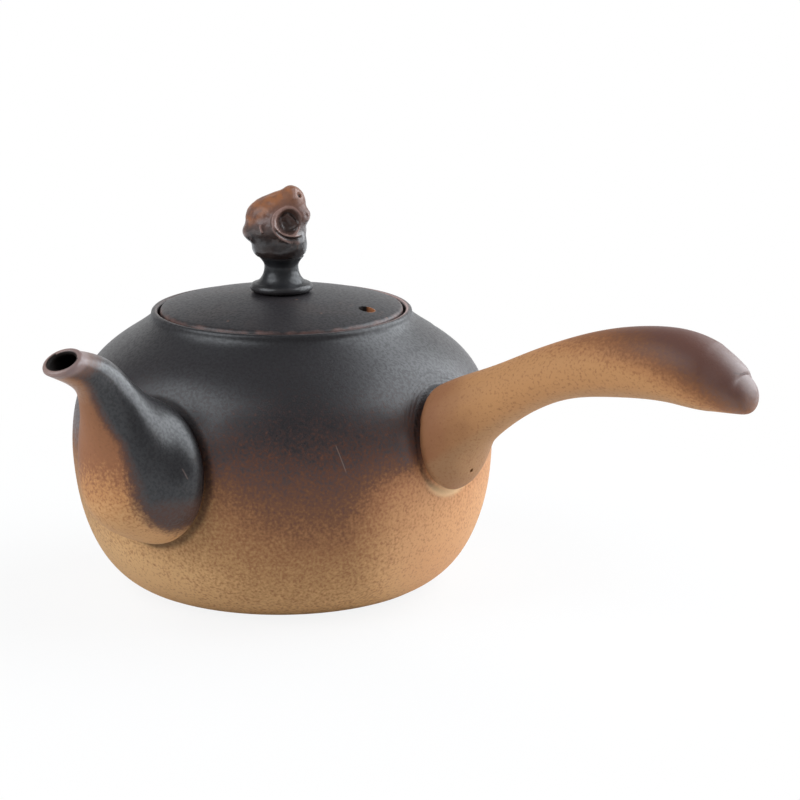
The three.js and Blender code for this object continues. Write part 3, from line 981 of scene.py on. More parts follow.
def paint_spout():
    places = places_of(spout)
    right, back, up = places.T
    paint(spout, "height", up / 100)
    paint(spout, "left_rim", rising(0.12 * up - right, 15.5, 25.0) * rising(up, 34, 58))
    below_mouth = 136.3 - (0.886 * up - 0.463 * back)
    paint(spout, "glossy_tip", 1 - rising(below_mouth, 7, 22))
    paint(spout, "lip", 1 - rising(below_mouth, 0.6, 2.6))
    rows = sections(SPOUT, np.linspace(0, 1, 60))
    middles = np.stack([0 * rows[:, 0], -rows[:, 0], rows[:, 1]], axis=1)
    near = np.linalg.norm(places[:, None, :] - middles[None], axis=2).argmin(axis=1)
    rise = np.stack([0 * rows[:, 0], -rows[:, 2], rows[:, 3]], axis=1)
    rise /= np.linalg.norm(rise, axis=1)[:, None]
    above_middle = ((places - middles[near]) * rise[near]).sum(axis=1)
    way_up = near / (len(rows) - 1)
    edge = np.interp(way_up, *zip(*SMOKE_EDGE))
    softness = 10 + 10 * (1 - rising(way_up, 0.25, 0.5))
    smoke = 0.5 + (right + 0.8 * above_middle - edge) / softness
    thin_low = 0.08 + 0.42 * rising(up, 31, 41) + 0.6 * rising(up, 43, 60)
    thin_tip = 0.42 + 0.7 * rising(below_mouth, 3, 14)
    paint(spout, "smoke", np.minimum(smoke, np.minimum(thin_low, thin_tip)))
    inward = ((middles[near] - places) * vectors_of(spout, "normal")).sum(axis=1)
    paint(spout, "inner", inward > 0)


paint_spout()
print("smoke on the spout: up to", round(values_of(spout, "smoke").max(), 2))

# %% Paint the handle


def paint_handle():
    places = places_of(handle)
    right, up = places[:, 0], places[:, 2]
    rows = sections(HANDLE, np.linspace(0, 1, 60))
    above_middle = up - np.interp(right, rows[:, 0], rows[:, 1])
    end = 9 * rising(right, 166, 180)
    paint(handle, "smoke", (right + 4 * above_middle + end - 135) / 65)
    paint(handle, "reach", (right - 58) / 128)
    paint(handle, "underside", rising(-above_middle, 5, 9))
    from_root = values_of(handle, "from_root")
    # Painted highlight: a pale band on the rolled low edge of the root.
    paint(handle, "rolled", (1 - rising(up, 43, 49)) * (1 - rising(from_root, 2.0, 3.8)))


paint_handle()
print("smoke on the handle: up to", round(values_of(handle, "smoke").max(), 2))

# %% [markdown]
# ## Setting out shader nodes
# A finish is a small tree of nodes. One helper adds a node, sets what is given as plain
# values and links what is given as sockets, so a tree reads from its inputs to its
# output. Colours are written as they look on a screen and turned into the linear values
# that the renderer works in.

# %% Helpers for node trees


def feed(tree, socket, value):
    if isinstance(value, bpy.types.NodeSocket):
        tree.links.new(value, socket)
    else:
        socket.default_value = value


def add(tree, kind, values=None, **settings):
    node = tree.nodes.new("ShaderNode" + kind)
    for name, value in settings.items():
        setattr(node, name, value)
    for name, value in (values or {}).items():
        feed(tree, node.inputs[name], value)
    return node


def maths(tree, operation, *values):
    return add(tree, "Math", dict(enumerate(values)), operation=operation).outputs[0]


def times(tree, first, *others):
    for other in others:
        first = maths(tree, "MULTIPLY", first, other)
    return first


def vector(tree, operation, *values):
    node = add(tree, "VectorMath", dict(enumerate(values)), operation=operation)
    return node.outputs["Value" if operation in ("LENGTH", "DOT_PRODUCT") else "Vector"]


def between(tree, value, low, high, to_low=0.0, to_high=1.0):
    """A soft step from one number to another while the value goes from low to high."""
    values = dict(enumerate((value, low, high, to_low, to_high)))
    return add(tree, "MapRange", values, interpolation_type="SMOOTHSTEP").outputs[0]


def cloud(tree, position, scale, detail):
    values = {"Vector": position, "Scale": scale, "Detail": detail}
    return add(tree, "TexNoise", values).outputs["Fac"]


def painted(tree, name):
    return add(tree, "Attribute", attribute_name=name).outputs["Fac"]


print("node helpers are ready")

# %% Colours and stains


def clay(red, green, blue):
    def linear(value):
        value /= 255
        return value / 12.92 if value <= 0.04045 else ((value + 0.055) / 1.055) ** 2.4

    return (linear(red), linear(green), linear(blue), 1.0)


def ramp(tree, level, stops):
    """A colour for each level, from stops in rising order."""
    node = add(tree, "ValToRGB", {0: level})
    first, last = node.color_ramp.elements
    for element, (place, shade) in ((first, stops[0]), (last, stops[-1])):
        element.position, element.color = place, clay(*shade)
    for place, shade in stops[1:-1]:
        node.color_ramp.elements.new(place).color = clay(*shade)
    return node.outputs["Color"]


def stained(tree, colour, *stains):
    """Stains over a colour, one after another: each has a mask, a share and a shade."""
    for mask, share, shade in stains:
        node = add(tree, "Mix", data_type="RGBA", clamp_factor=True)
        feed(tree, node.inputs["Factor"], mask if share == 1.0 else times(tree, mask, share))
        for socket, value in ((node.inputs[6], colour), (node.inputs[7], shade)):
            feed(tree, socket, clay(*value) if isinstance(value, tuple) else value)
        colour = node.outputs[2]
    return colour


print("tan clay on a screen 212 169 119, linear", [round(part, 3) for part in clay(212, 169, 119)])

# %% [markdown]
# ## Effects that several finishes share
# Smoke, specks, the skin of the clay and wear are on more than one piece. Each is a node
# group with named sockets, built once and placed in a finish with values of its own.

# %% Build and place a group


def new_group(name, results, **inputs):
    """A group that takes a position and named values, and gives named numbers."""
    tree = bpy.data.node_groups.new(name, "ShaderNodeTree")
    tree.interface.new_socket(name="Position", in_out="INPUT", socket_type="NodeSocketVector")
    for label, value in inputs.items():
        kind = "NodeSocketVector" if isinstance(value, tuple) else "NodeSocketFloat"
        socket = tree.interface.new_socket(name=label, in_out="INPUT", socket_type=kind)
        socket.default_value = value
    for label in results:
        tree.interface.new_socket(name=label, in_out="OUTPUT", socket_type="NodeSocketFloat")
    given = tree.nodes.new("NodeGroupInput").outputs
    return tree, given, tree.nodes.new("NodeGroupOutput").inputs


def use(tree, group, position, **values):
    return add(tree, "Group", {"Position": position, **values}, node_tree=group).outputs


print("groups so far:", len(bpy.data.node_groups))

# %% [markdown]
# ## What the kiln leaves
# The change from charcoal to tan is not a painted line. It drifts up and down round the
# pot and breaks up into grains, because each grain of clay took the smoke or didn't. The
# group adds a slow drift, smaller clouds and single grains to a painted level, and gives
# a number for a colour ramp to read. It gives the grains alone as well: where the clay is
# bare they mottle it, and where it is burnished they dull it.

# %% Group: the drift of smoke
DRIFT_SIZES = ((32.0, 1.0, "Drift"), (140.0, 3.0, "Clouds"), (1000.0, 2.0, "Grains"))


def build_smoke_drift():
    tree, given, result = new_group(
        "smoke_drift", ["Level", "Grain"], Level=0.0, Drift=0.1, Clouds=0.06, Grains=0.1
    )
    level = given["Level"]
    for scale, detail, amount in DRIFT_SIZES:
        grain = cloud(tree, given["Position"], scale, detail)
        swing = maths(tree, "SUBTRACT", grain, 0.5)
        level = maths(tree, "MULTIPLY_ADD", swing, given[amount], level)
    tree.links.new(level, result["Level"])
    tree.links.new(grain, result["Grain"])
    return tree


smoke_drift = build_smoke_drift()


def smoked(tree, position, name, drift, clouds, grains):
    """A painted level that drifts and breaks up."""
    values = {"Level": painted(tree, name), "Drift": drift, "Clouds": clouds, "Grains": grains}
    return use(tree, smoke_drift, position, **values)


print("group:", smoke_drift.name)

# %% [markdown]
# ## Grains in the clay
# Grog and sand show as specks a fraction of a millimetre wide, a little darker or paler
# than the clay round them. Cells of a Voronoi pattern are the grains, and only the cells
# whose random value passes a limit show.

# %% Group: specks
SPECK_BROWN = (112, 66, 44)


def build_specks():
    tree, given, result = new_group("clay_specks", ["Mask"], Density=850.0, Share=0.2, Size=0.5)
    values = {"Vector": given["Position"], "Scale": given["Density"]}
    cells = add(tree, "TexVoronoi", values, feature="F1").outputs
    chance = add(tree, "SeparateColor", {0: cells["Color"]}).outputs[0]
    chosen = maths(tree, "LESS_THAN", chance, given["Share"])
    near = between(tree, cells["Distance"], given["Size"], 0.0)
    tree.links.new(times(tree, chosen, near), result["Mask"])
    return tree


clay_specks = build_specks()
print("group:", clay_specks.name)

# %% [markdown]
# ## The skin of the clay
# Close up, burnished clay is faintly pebbled, with shallow lines where a rib or a finger
# ran round the turning pot. Noise at two sizes makes the pebbling. The lines are noise
# read through a position that is squeezed flat, so that it changes quickly with height
# and slowly round the pot.

# %% Group: pebbled skin with turning lines


def build_clay_skin():
    tree, given, result = new_group(
        "clay_skin", ["Height"], Squeeze=(18.0, 18.0, 420.0), Lines=0.3, Pebbles=0.5
    )
    coarse, fine = (cloud(tree, given["Position"], scale, 2.0) for scale in (420.0, 1700.0))
    pebbles = maths(tree, "MULTIPLY_ADD", fine, 0.6, coarse)
    squeezed = vector(tree, "MULTIPLY", given["Position"], given["Squeeze"])
    lines = cloud(tree, squeezed, 1.0, 3.0)
    height = times(tree, pebbles, given["Pebbles"])
    height = maths(tree, "MULTIPLY_ADD", lines, given["Lines"], height)
    tree.links.new(height, result["Height"])
    return tree


clay_skin = build_clay_skin()
print("group:", clay_skin.name)

# %% [markdown]
# ## Wear, and painted shade in hollows
# The mask is strong where the relief number is high, and broken up by noise, because
# wear comes in patches. The same group gives a mask for painted shade in the hollows,
# where the relief is low.

# %% Group: worn ridges and painted shade in hollows


def build_wear_and_hollow_shade():
    tree, given, result = new_group(
        "wear_and_hollow_shade", ["Ridge", "HollowShade"], Relief=0.0, Limit=0.3, Patches=0.5
    )
    patch = cloud(tree, given["Position"], 260.0, 3.0)
    swing = times(tree, maths(tree, "SUBTRACT", patch, 0.5), given["Patches"])
    height = maths(tree, "ADD", given["Relief"], swing)
    depth = times(tree, given["Relief"], -1.0)
    full = maths(tree, "ADD", given["Limit"], 0.35)
    for name, value in (("Ridge", height), ("HollowShade", depth)):
        tree.links.new(between(tree, value, given["Limit"], full), result[name])
    return tree


wear_and_hollow_shade = build_wear_and_hollow_shade()
print("group:", wear_and_hollow_shade.name)

# %% [markdown]
# ## A finish for each piece
# Every finish starts with the position on the piece and ends with a Principled surface
# that is bumped by the clay skin. What differs is the colour. Tan clay is dry and matte.
# The carbon in charcoal clay was rubbed to a sheen, which is a thin coat over the dry
# clay, so the coat's weight follows the same mask as the colour.

# %% The start and the end of a finish
BUMP_DEPTH = 0.0002
DRY_CLAY_GLOSS = 0.18


def blank_tree(owner):
    owner.use_nodes = True
    owner.node_tree.nodes.clear()
    return owner.node_tree


def start_finish(name):
    material = bpy.data.materials.new(name)
    tree = blank_tree(material)
    return material, tree, add(tree, "TexCoord").outputs["Object"]


def end_finish(piece, material, colour, roughness, skin, depth=BUMP_DEPTH, **coat):
    """Surface and bump. A coat is given by its weight and its roughness."""
    tree = material.node_tree
    bump = add(tree, "Bump", {"Height": skin, "Distance": depth, "Strength": 1.0}).outputs[0]
    values = {"Base Color": colour, "Roughness": roughness, "Normal": bump}
    values["Specular IOR Level"] = DRY_CLAY_GLOSS
    values["Coat Weight"] = coat.get("weight", 0.0)
    values["Coat Roughness"] = coat.get("coat_roughness", 0.3)
    surface = add(tree, "BsdfPrincipled", values)
    tree.links.new(surface.outputs[0], add(tree, "OutputMaterial").inputs["Surface"])
    piece.data.materials.clear()
    piece.data.materials.append(material)
    print(f"{piece.name}: {material.name}, {len(tree.nodes)} nodes")


print("bump of the clay's skin:", BUMP_DEPTH / METRES_PER_MM, "mm")


# %% [markdown]
# ## Small marks
# Three things turn up on several pieces: painted shade in the crease round a root, single
# grains that the burnishing stone missed, and short straight marks such as a scratch. A
# mark is near its own middle and near the plane that it lies in.

# %% Crease shade, mottle, dull grains and nicks


# Painted shade: a dark colour in the crease round a root, where shade falls.
def crease_shade(tree, share, shade=(26, 19, 17)):
    return between(tree, painted(tree, "from_root"), 2.6, 0.4), share, shade


def mottle(tree, grain):
    return between(tree, grain, 0.5, 0.72)


def dull_grains(tree, grain, low=0.6):
    """The sheen misses a grain here and there."""
    return between(tree, grain, 0.36, 0.6, low, 1.08)


def nick(tree, position, middle, across, length, width):
    offset = vector(tree, "SUBTRACT", position, middle)
    aside = maths(tree, "ABSOLUTE", vector(tree, "DOT_PRODUCT", offset, across))
    away = vector(tree, "LENGTH", offset)
    line = between(tree, aside, width, 0.0)
    return times(tree, line, between(tree, away, length / 2, length / 3))


print("small marks are ready")

# %% [markdown]
# ## Bowl finish
# From the shoulder down the bowl goes from charcoal over a purple brown and a rust brown
# to tan. Under the handle the tan is redder, and a painted highlight runs along the low
# edge of the handle's root. Inside, where no smoke came, the clay is a plain brown, and a
# thin worn line runs round the edge of the lip. Beside the handle, high up, the wiping
# left ripples in the wall, and there is one fine scratch in front. Painted shade darkens
# the crease round each root.

# %% Finish the bowl
BOWL_STOPS = [
    (0.0, (212, 169, 119)),
    (0.067, (203, 159, 110)),
    (0.194, (178, 135, 90)),
    (0.314, (156, 110, 73)),
    (0.427, (126, 85, 58)),
    (0.505, (108, 71, 51)),
    (0.585, (91, 59, 47)),
    (0.663, (70, 50, 45)),
    (0.737, (50, 40, 40)),
    (0.826, (34, 30, 32)),
    (1.0, (29, 27, 29)),
]
RIPPLE_WIDTH = 3.2
SCRATCH = ((0.0573, -0.0424, 0.0601), (-0.56, -0.763, -0.322), 0.011, 0.0003)


def finish_bowl():
    material, tree, position = start_finish("smoked_bowl_clay")
    kiln = smoked(tree, position, "smoke", 0.1, 0.1, 0.42)
    smoke, grain = kiln["Level"], kiln["Grain"]
    tan = between(tree, smoke, 0.55, 0.25)
    inner, from_root = painted(tree, "inner"), painted(tree, "from_root")
    # the worn line, paler towards the handle's side
    worn = stained(tree, (112, 96, 92), (painted(tree, "rubbed"), 1.0, (214, 176, 168)))
    specks = use(tree, clay_specks, position)["Mask"]
    colour = stained(
        tree, ramp(tree, smoke, BOWL_STOPS),
        (times(tree, painted(tree, "licked"), tan), 0.4, (204, 136, 98)),
        (times(tree, specks, tan), 0.4, SPECK_BROWN),
        (times(tree, mottle(tree, grain), tan), 0.4, (150, 98, 68)),
        # painted shade in the crease round the roots
        crease_shade(tree, 0.65),
        # painted highlight along the low edge of the handle's root
        (painted(tree, "root_edge_highlight"), 0.85, (226, 190, 146)),
        (inner, 1.0, (112, 74, 54)),
        (painted(tree, "lip_line"), 0.85, worn),
        (nick(tree, position, *SCRATCH), 0.3, (170, 146, 132)),
    )
    burnished = times(
        tree, between(tree, smoke, 0.38, 0.74, 0.05, 0.66), dull_grains(tree, grain),
        maths(tree, "SUBTRACT", 1.0, inner), between(tree, from_root, 0.6, 2.4),
    )
    skin = use(tree, clay_skin, position, Squeeze=(16.0, 16.0, 380.0), Lines=0.5)["Height"]
    ripples = maths(tree, "SINE", times(tree, from_root, 2 * math.pi / RIPPLE_WIDTH))
    skin = maths(tree, "MULTIPLY_ADD", times(tree, ripples, 0.5), painted(tree, "tooled"), skin)
    roughness = between(tree, smoke, 0.3, 0.8, 0.66, 0.5)
    end_finish(bowl, material, colour, roughness, skin, weight=burnished, coat_roughness=0.36)


finish_bowl()

# %% [markdown]
# ## Spout finish
# On the spout the smoke came from the right and above, so a dark flank meets orange clay
# along a soft slanting edge. Towards the foot the orange pales to tan. The lip is a
# greyish brown, inside the spout it is nearly black, and the tip was handled until it
# shone. A small scar crosses the dark flank.

# %% Finish the spout
SPOUT_STOPS = [
    (0.0, (190, 148, 104)),
    (0.4, (202, 154, 105)),
    (0.5, (188, 134, 87)),
    (0.6, (150, 100, 68)),
    (0.8, (142, 96, 66)),
    (1.0, (160, 116, 82)),
]
SCAR = ((0.0209, -0.0777, 0.057), (0.2, 0.9, 0.38), 0.005, 0.0004)


def finish_spout():
    material, tree, position = start_finish("smoked_spout_clay")
    height = smoked(tree, position, "height", 0.1, 0.1, 0.3)["Level"]
    kiln = smoked(tree, position, "smoke", 0.12, 0.16, 0.26)
    smoke, grain, inner = kiln["Level"], kiln["Grain"], painted(tree, "inner")
    colour = stained(
        tree, ramp(tree, height, SPOUT_STOPS),
        (use(tree, clay_specks, position)["Mask"], 0.35, SPECK_BROWN),
        (mottle(tree, grain), 0.35, (140, 90, 62)),
        (painted(tree, "left_rim"), 0.65, (92, 70, 68)),
        (between(tree, smoke, 0.12, 0.5), 1.0, (92, 64, 54)),
        (between(tree, smoke, 0.36, 0.74), 1.0, (28, 26, 28)),
        (painted(tree, "lip"), 0.85, (136, 114, 110)),
        (nick(tree, position, *SCAR), 0.35, (150, 126, 118)),
        # painted shade in the crease round the root
        crease_shade(tree, 0.5),
        (inner, 1.0, (26, 19, 16)),
    )
    tip = times(tree, painted(tree, "glossy_tip"), 0.8)
    burnished = times(
        tree, maths(tree, "MAXIMUM", between(tree, smoke, 0.34, 0.66, 0.05, 1.0), tip),
        maths(tree, "SUBTRACT", 1.0, inner), dull_grains(tree, grain, 0.7),
    )
    skin = use(tree, clay_skin, position, Squeeze=(300.0, 60.0, 60.0), Lines=0.2)["Height"]
    roughness = between(tree, smoke, 0.35, 0.7, 0.62, 0.5)
    end_finish(spout, material, colour, roughness, skin, weight=burnished, coat_roughness=0.3)


finish_spout()

# %% [markdown]
# ## Handle finish
# The handle lay furthest from the smoke. It is brown at its root, tan along its side,
# rust along its upper edge and purple brown at the end of the paddle, which has a short
# cut across it. Its underside is greyer, and a painted highlight lies along the rolled
# edge of its root.

# %% Finish the handle
HANDLE_STOPS = [
    (0.0, (190, 139, 92)),
    (0.06, (188, 137, 90)),
    (0.26, (176, 123, 80)),
    (0.5, (140, 92, 60)),
    (0.72, (116, 75, 52)),
    (0.9, (102, 66, 52)),
    (1.0, (98, 64, 54)),
]
ROOT_STOPS = [
    (0.0, (138, 92, 62)),
    (0.12, (152, 104, 71)),
    (0.26, (178, 130, 86)),
    (1.0, (184, 134, 90)),
]
CUT = ((0.1811, -0.0016, 0.0973), (0.35, 0.1, 0.93), 0.008, 0.0004)


def finish_handle():
    material, tree, position = start_finish("toasted_handle_clay")
    kiln = smoked(tree, position, "smoke", 0.14, 0.2, 0.46)
    smoke, bare = kiln["Level"], between(tree, kiln["Level"], 0.8, 0.3)
    reach = smoked(tree, position, "reach", 0.06, 0.08, 0.06)["Level"]
    colour = stained(
        tree, ramp(tree, smoke, HANDLE_STOPS),
        (between(tree, reach, 0.3, 0.14), 1.0, ramp(tree, reach, ROOT_STOPS)),
        (painted(tree, "underside"), 0.5, (164, 130, 94)),
        (use(tree, clay_specks, position)["Mask"], 0.3, SPECK_BROWN),
        (times(tree, mottle(tree, kiln["Grain"]), bare), 0.45, (136, 90, 60)),
        # painted shade in the crease round the root
        crease_shade(tree, 0.3, (60, 36, 26)),
        # painted highlight on the rolled edge of the root
        (painted(tree, "rolled"), 0.8, (226, 196, 152)),
        (nick(tree, position, *CUT), 0.4, (52, 34, 30)),
    )
    end_gloss = between(tree, reach, 0.84, 0.96, 0.4, 1.2)
    burnished = times(tree, between(tree, smoke, 0.45, 0.95, 0.05, 0.8), end_gloss)
    squeeze = (40.0, 160.0, 160.0)
    skin = use(tree, clay_skin, position, Squeeze=squeeze, Lines=0.2, Pebbles=0.6)["Height"]
    roughness = between(tree, smoke, 0.4, 1.0, 0.64, 0.55)
    end_finish(handle, material, colour, roughness, skin, weight=burnished, coat_roughness=0.44)


finish_handle()

# %% [markdown]
# ## Lid and pedestal finish
# Both are charcoal all over, with a brown cast where the smoke was thin, and worn to a
# pinkish brown on the edge of the lid. Inside the steam hole one half is near black and
# the other is bare clay.

# %% Stains of the steam hole


def hole_stains(tree, position, dark):
    """Soot round the steam hole, and inside it near black on the left and bare clay on the right.
    """
    middle = Vector((math.cos(STEAM_TURN), math.sin(STEAM_TURN), 0)) * STEAM_REACH * METRES_PER_MM
    flat = vector(tree, "MULTIPLY", position, (1.0, 1.0, 0.0))
    offset = vector(tree, "SUBTRACT", flat, middle)
    away = vector(tree, "LENGTH", offset)
    right = between(tree, vector(tree, "DOT_PRODUCT", offset, RIGHT_HAND), -0.0004, 0.0008)
    inside = stained(tree, (14, 11, 11), (right, 1.0, (164, 104, 66)))
    return [
        (between(tree, away, 0.0062, 0.0046), 1.0, dark),
        (between(tree, away, 0.0031, 0.0029), 1.0, inside),
    ]


print("steam hole:", 2 * STEAM_RADIUS, "mm wide")

# %% Finish the lid and the pedestal


def finish_charcoal(piece, name, dark, brown, worn, wear, lines, sheen, coat_roughness, hole=False):
    material, tree, position = start_finish(name)
    smoke = cloud(tree, position, 60.0, 4.0)
    specks = use(tree, clay_specks, position, Density=420.0, Share=0.05, Size=0.3)["Mask"]
    relief = painted(tree, "relief")
    ridge = use(tree, wear_and_hollow_shade, position, Relief=relief, Limit=0.3, Patches=0.6)["Ridge"]
    colour = stained(
        tree, dark,
        (between(tree, smoke, 0.45, 0.8), 1.0, brown),
        (specks, 0.5, (150, 112, 92)),
        (ridge, wear, worn),
        *(hole_stains(tree, position, dark) if hole else []),
    )
    skin = use(tree, clay_skin, position, Squeeze=(14.0, 14.0, 300.0), Lines=lines)["Height"]
    coat = times(tree, dull_grains(tree, use(tree, smoke_drift, position)["Grain"]), sheen)
    end_finish(piece, material, colour, 0.55, skin, weight=coat, coat_roughness=coat_roughness)


finish_charcoal(
    lid, "smoked_lid_clay", dark=(34, 31, 33), brown=(46, 38, 37), worn=(132, 96, 86),
    wear=0.6, lines=0.25, sheen=0.6, coat_roughness=0.4, hole=True,
)
finish_charcoal(
    pedestal, "burnished_pedestal_clay", dark=(26, 26, 28), brown=(32, 28, 28), worn=(60, 54, 54),
    wear=0.3, lines=0.15, sheen=0.62, coat_roughness=0.24,
)

# %% [markdown]
# ## Finial finish
# The finial is purple brown round its left and charcoal low down, with patches of rust
# orange at the top left. Painted shade makes it darkest in its hollows and in the eye of
# the scroll. It is paler along its upper ridges, where hands rub it.

# %% Colours of the finial
FINIAL_STOPS = [
    (0.0, (40, 27, 22)),
    (0.12, (42, 36, 35)),
    (0.28, (66, 52, 47)),
    (0.42, (80, 60, 54)),
    (0.6, (98, 70, 62)),
    (0.78, (108, 76, 64)),
    (1.0, (124, 82, 60)),
]
TOP_LEFT = (-0.5, -0.36, 0.79)

print("from", FINIAL_STOPS[0][1], "low down to", FINIAL_STOPS[-1][1], "on top")

# %% Painted shade in the eye of the scroll


def eye_shade_mask(tree, position):
    """Painted shade in the hollow of the scroll, along the line that its thumb went in."""
    right, front, up = SCROLL_EYE
    turn = Matrix.Rotation(FINIAL_TURN, 4, "Z")
    middle = turn @ Vector((right, -front, up)) + Vector((0, 0, FINIAL_BOTTOM))
    inward = turn @ Vector((0, -1, 0))
    offset = vector(tree, "SUBTRACT", position, middle * METRES_PER_MM)
    away = vector(tree, "LENGTH", vector(tree, "CROSS_PRODUCT", offset, inward))
    depth = vector(tree, "DOT_PRODUCT", offset, inward)
    return times(tree, between(tree, away, 0.0044, 0.0034), between(tree, depth, -0.009, -0.007))


print("the eye lies", SCROLL_EYE, "mm right, front and up of the finial's foot")

# %% Finish the finial


def finish_finial():
    material, tree, position = start_finish("rubbed_finial_clay")
    height = add(tree, "SeparateXYZ", {0: position}).outputs[2]
    level = between(tree, height, 0.1139, 0.1385)
    rust = use(tree, smoke_drift, position, Level=level, Drift=0.2, Clouds=0.4, Grains=0.2)["Level"]
    patches = between(tree, cloud(tree, position, 260.0, 3.0), 0.42, 0.6, 0.1, 0.65)
    top = between(tree, vector(tree, "DOT_PRODUCT", position, TOP_LEFT), 0.1038, 0.1068)
    relief = painted(tree, "relief")
    wear = use(tree, wear_and_hollow_shade, position, Relief=relief, Limit=0.18, Patches=0.4)
    high = between(tree, height, 0.1165, 0.119)
    colour = stained(
        tree, ramp(tree, rust, FINIAL_STOPS),
        (times(tree, top, patches), 1.0, (158, 98, 56)),
        (times(tree, wear["Ridge"], high), 0.6, (156, 124, 114)),
        # painted shade in the hollows
        (wear["HollowShade"], 0.85, (34, 22, 18)),
        # painted shade in the eye of the scroll
        (eye_shade_mask(tree, position), 0.65, (50, 33, 26)),
    )
    skin = use(tree, clay_skin, position, Squeeze=(90.0, 90.0, 90.0))["Height"]
    sheen = between(tree, rust, 0.75, 0.35, 0.35, 0.9)
    roughness = between(tree, rust, 0.2, 0.7, 0.45, 0.6)
    end_finish(finial, material, colour, roughness, skin, weight=sheen, coat_roughness=0.26)


finish_finial()

# %% [markdown]
# ## Raw clay inside
# The strainer and the collar under the lid never saw the smoke directly. They are dry
# brown clay with visible grains.

# %% Finish the hidden clay


def finish_raw(piece, name, base, shade):
    material, tree, position = start_finish(name)
    patches = cloud(tree, position, 90.0, 4.0)
    specks = use(tree, clay_specks, position, Density=700.0, Share=0.25, Size=0.45)["Mask"]
    darker = (between(tree, patches, 0.35, 0.7), 1.0, shade)
    colour = stained(tree, base, darker, (specks, 0.5, (70, 44, 34)))
    roughness = between(tree, patches, 0.2, 0.8, 0.68, 0.8)
    skin = use(tree, clay_skin, position, Squeeze=(20.0, 20.0, 300.0), Pebbles=0.8)["Height"]
    end_finish(piece, material, colour, roughness, skin, depth=0.00025)


finish_raw(strainer, "raw_strainer_clay", (124, 84, 62), (98, 66, 52))
finish_raw(collar, "raw_collar_clay", (118, 80, 62), (88, 62, 52))

# %% [markdown]
# ## Floor and light
# A plain white floor takes a soft shadow. The camera sees a brighter floor than the one
# that lights the clay, through the Is Camera Ray output, so the background is white while
# the lamps stay at a plain level. Two large soft boxes stand left and right of the
# camera, above the kettle, as their two long glints under the rim show. A wide sheet of
# paper behind the kettle gives the dark shoulder its pale edge.

# %% Lay the floor
FLOOR_SIZE = 3.0
FLOOR_GAP = 0.0002


def output(tree, kind, shader):
    tree.links.new(shader.outputs[0], add(tree, kind).inputs["Surface"])


def make_floor():
    shape = bmesh.new()
    bmesh.ops.create_grid(shape, x_segments=1, y_segments=1, size=FLOOR_SIZE)
    bmesh.ops.translate(shape, vec=(0, 0, -FLOOR_GAP), verts=shape.verts)
    floor = as_object(shape, "floor")
    material = bpy.data.materials.new("white_floor")
    tree = blank_tree(material)
    dull = add(tree, "BsdfDiffuse", {"Color": (0.8, 0.8, 0.8, 1.0)})
    glow = add(tree, "Emission", {"Color": (1.0, 1.0, 1.0, 1.0), "Strength": 1.0})
    seen = add(tree, "LightPath").outputs["Is Camera Ray"]
    away = vector(tree, "LENGTH", add(tree, "TexCoord").outputs["Object"])
    share = times(tree, seen, between(tree, away, 0.09, 0.26, 0.88, 1.0))
    both = add(tree, "MixShader", {0: share, 1: dull.outputs[0], 2: glow.outputs[0]})
    output(tree, "OutputMaterial", both)
    floor.data.materials.append(material)
    floor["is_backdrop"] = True
    return floor


print("laid:", make_floor().name)

# %% Light the sky


def make_sky(level):
    world = bpy.data.worlds.new("soft_sky")
    bpy.context.scene.world = world
    tree = blank_tree(world)
    seen = add(tree, "LightPath").outputs["Is Camera Ray"]
    room = add(tree, "Background", {"Color": (0.95, 0.97, 1.0, 1.0), "Strength": level})
    white = add(tree, "Background", {"Color": (1.0, 1.0, 1.0, 1.0), "Strength": 1.0})
    both = add(tree, "MixShader", {0: seen, 1: room.outputs[0], 2: white.outputs[0]})
    output(tree, "OutputWorld", both)


make_sky(0.22)
print("sky:", bpy.context.scene.world.name)

# %% Hang the lamps
CAMERA_TURN = 36.0
CAMERA_CLIMB = 13.8
COOL = (0.9, 0.95, 1.0)
LAMP_AIM = Vector((0, 0, 0.05))


def toward(turn, climb):
    """The way out from the kettle, turned from the spout's side and climbing, in degrees."""
    turn, climb = math.radians(turn), math.radians(climb)
    flat = math.cos(climb)
    return Vector((math.sin(turn) * flat, -math.cos(turn) * flat, math.sin(climb)))


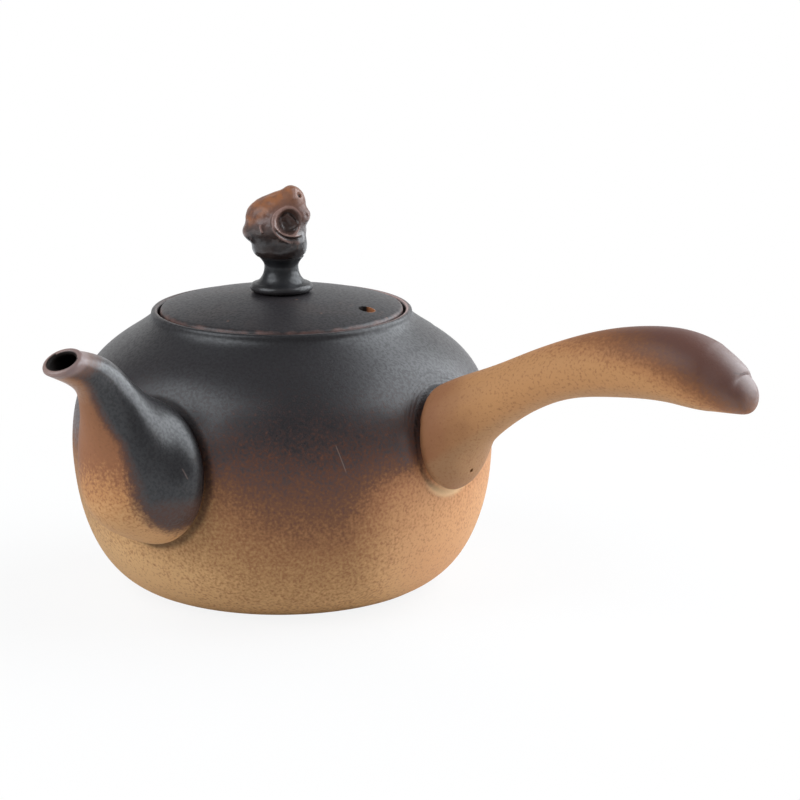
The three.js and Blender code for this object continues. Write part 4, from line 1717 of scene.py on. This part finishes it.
def place_facing(thing, way, away, aim):
    thing.location = way * away + aim
    thing.rotation_euler = way.to_track_quat("Z", "Y").to_euler()
    bpy.context.scene.collection.objects.link(thing)


def hang_lamp(name, turn, climb, away, width, height, power, colour=(1.0, 1.0, 1.0)):
    """A soft box that faces the kettle. Its turn is counted from the camera's."""
    light = bpy.data.lights.new(name, "AREA")
    light.shape, light.size, light.size_y = "RECTANGLE", width, height
    light.energy, light.color = power, colour
    lamp = bpy.data.objects.new(name, light)
    place_facing(lamp, toward(CAMERA_TURN + turn, climb), away, LAMP_AIM)
    return lamp


hang_lamp("left_softbox", -64, 38, 0.9, 0.75, 0.8, 7.2, COOL)
hang_lamp("right_softbox", 106, 31, 0.9, 1.15, 0.95, 14.7, COOL)
back_paper = hang_lamp("back_paper", 180, 12, 1.4, 2.4, 0.9, 4.6)
back_paper.visible_camera = False

# %% [markdown]
# ## Camera
# The photograph was taken from a little above the rim, between the spout and the handle,
# with a long lens. The camera stands a metre off and looks just right of the bowl, so
# that the long handle has room.

# %% Set the camera
LENS_PIXELS = 2897.0
PHOTO_PIXELS = 800.0
SENSOR = 36.0
AIM_RIGHT = 0.0405
AIM_UP = 0.063


def set_camera():
    turn = math.radians(CAMERA_TURN)
    right = Vector((math.cos(turn), math.sin(turn), 0))
    lens = bpy.data.cameras.new("camera")
    lens.sensor_width = SENSOR
    lens.lens = LENS_PIXELS / PHOTO_PIXELS * SENSOR
    camera = bpy.data.objects.new("camera", lens)
    aim = right * AIM_RIGHT + Vector((0, 0, AIM_UP))
    place_facing(camera, toward(CAMERA_TURN, CAMERA_CLIMB), 1.0, aim)
    bpy.context.scene.camera = camera
    print("lens:", round(lens.lens, 1), "mm")


set_camera()
bpy.context.scene.view_settings.view_transform = "Standard"

# %% [markdown]
# ## Sizes
# The visible kettle has to fill the same box as the imported model.

# %% Print the sizes
shown_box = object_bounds()
sizes = {
    "packed": [list(point) for point in packed_box],
    "shown": [list(point) for point in shown_box],
}
for name, box in sizes.items():
    print(name, [[round(value / METRES_PER_MM, 1) for value in point] for point in box])
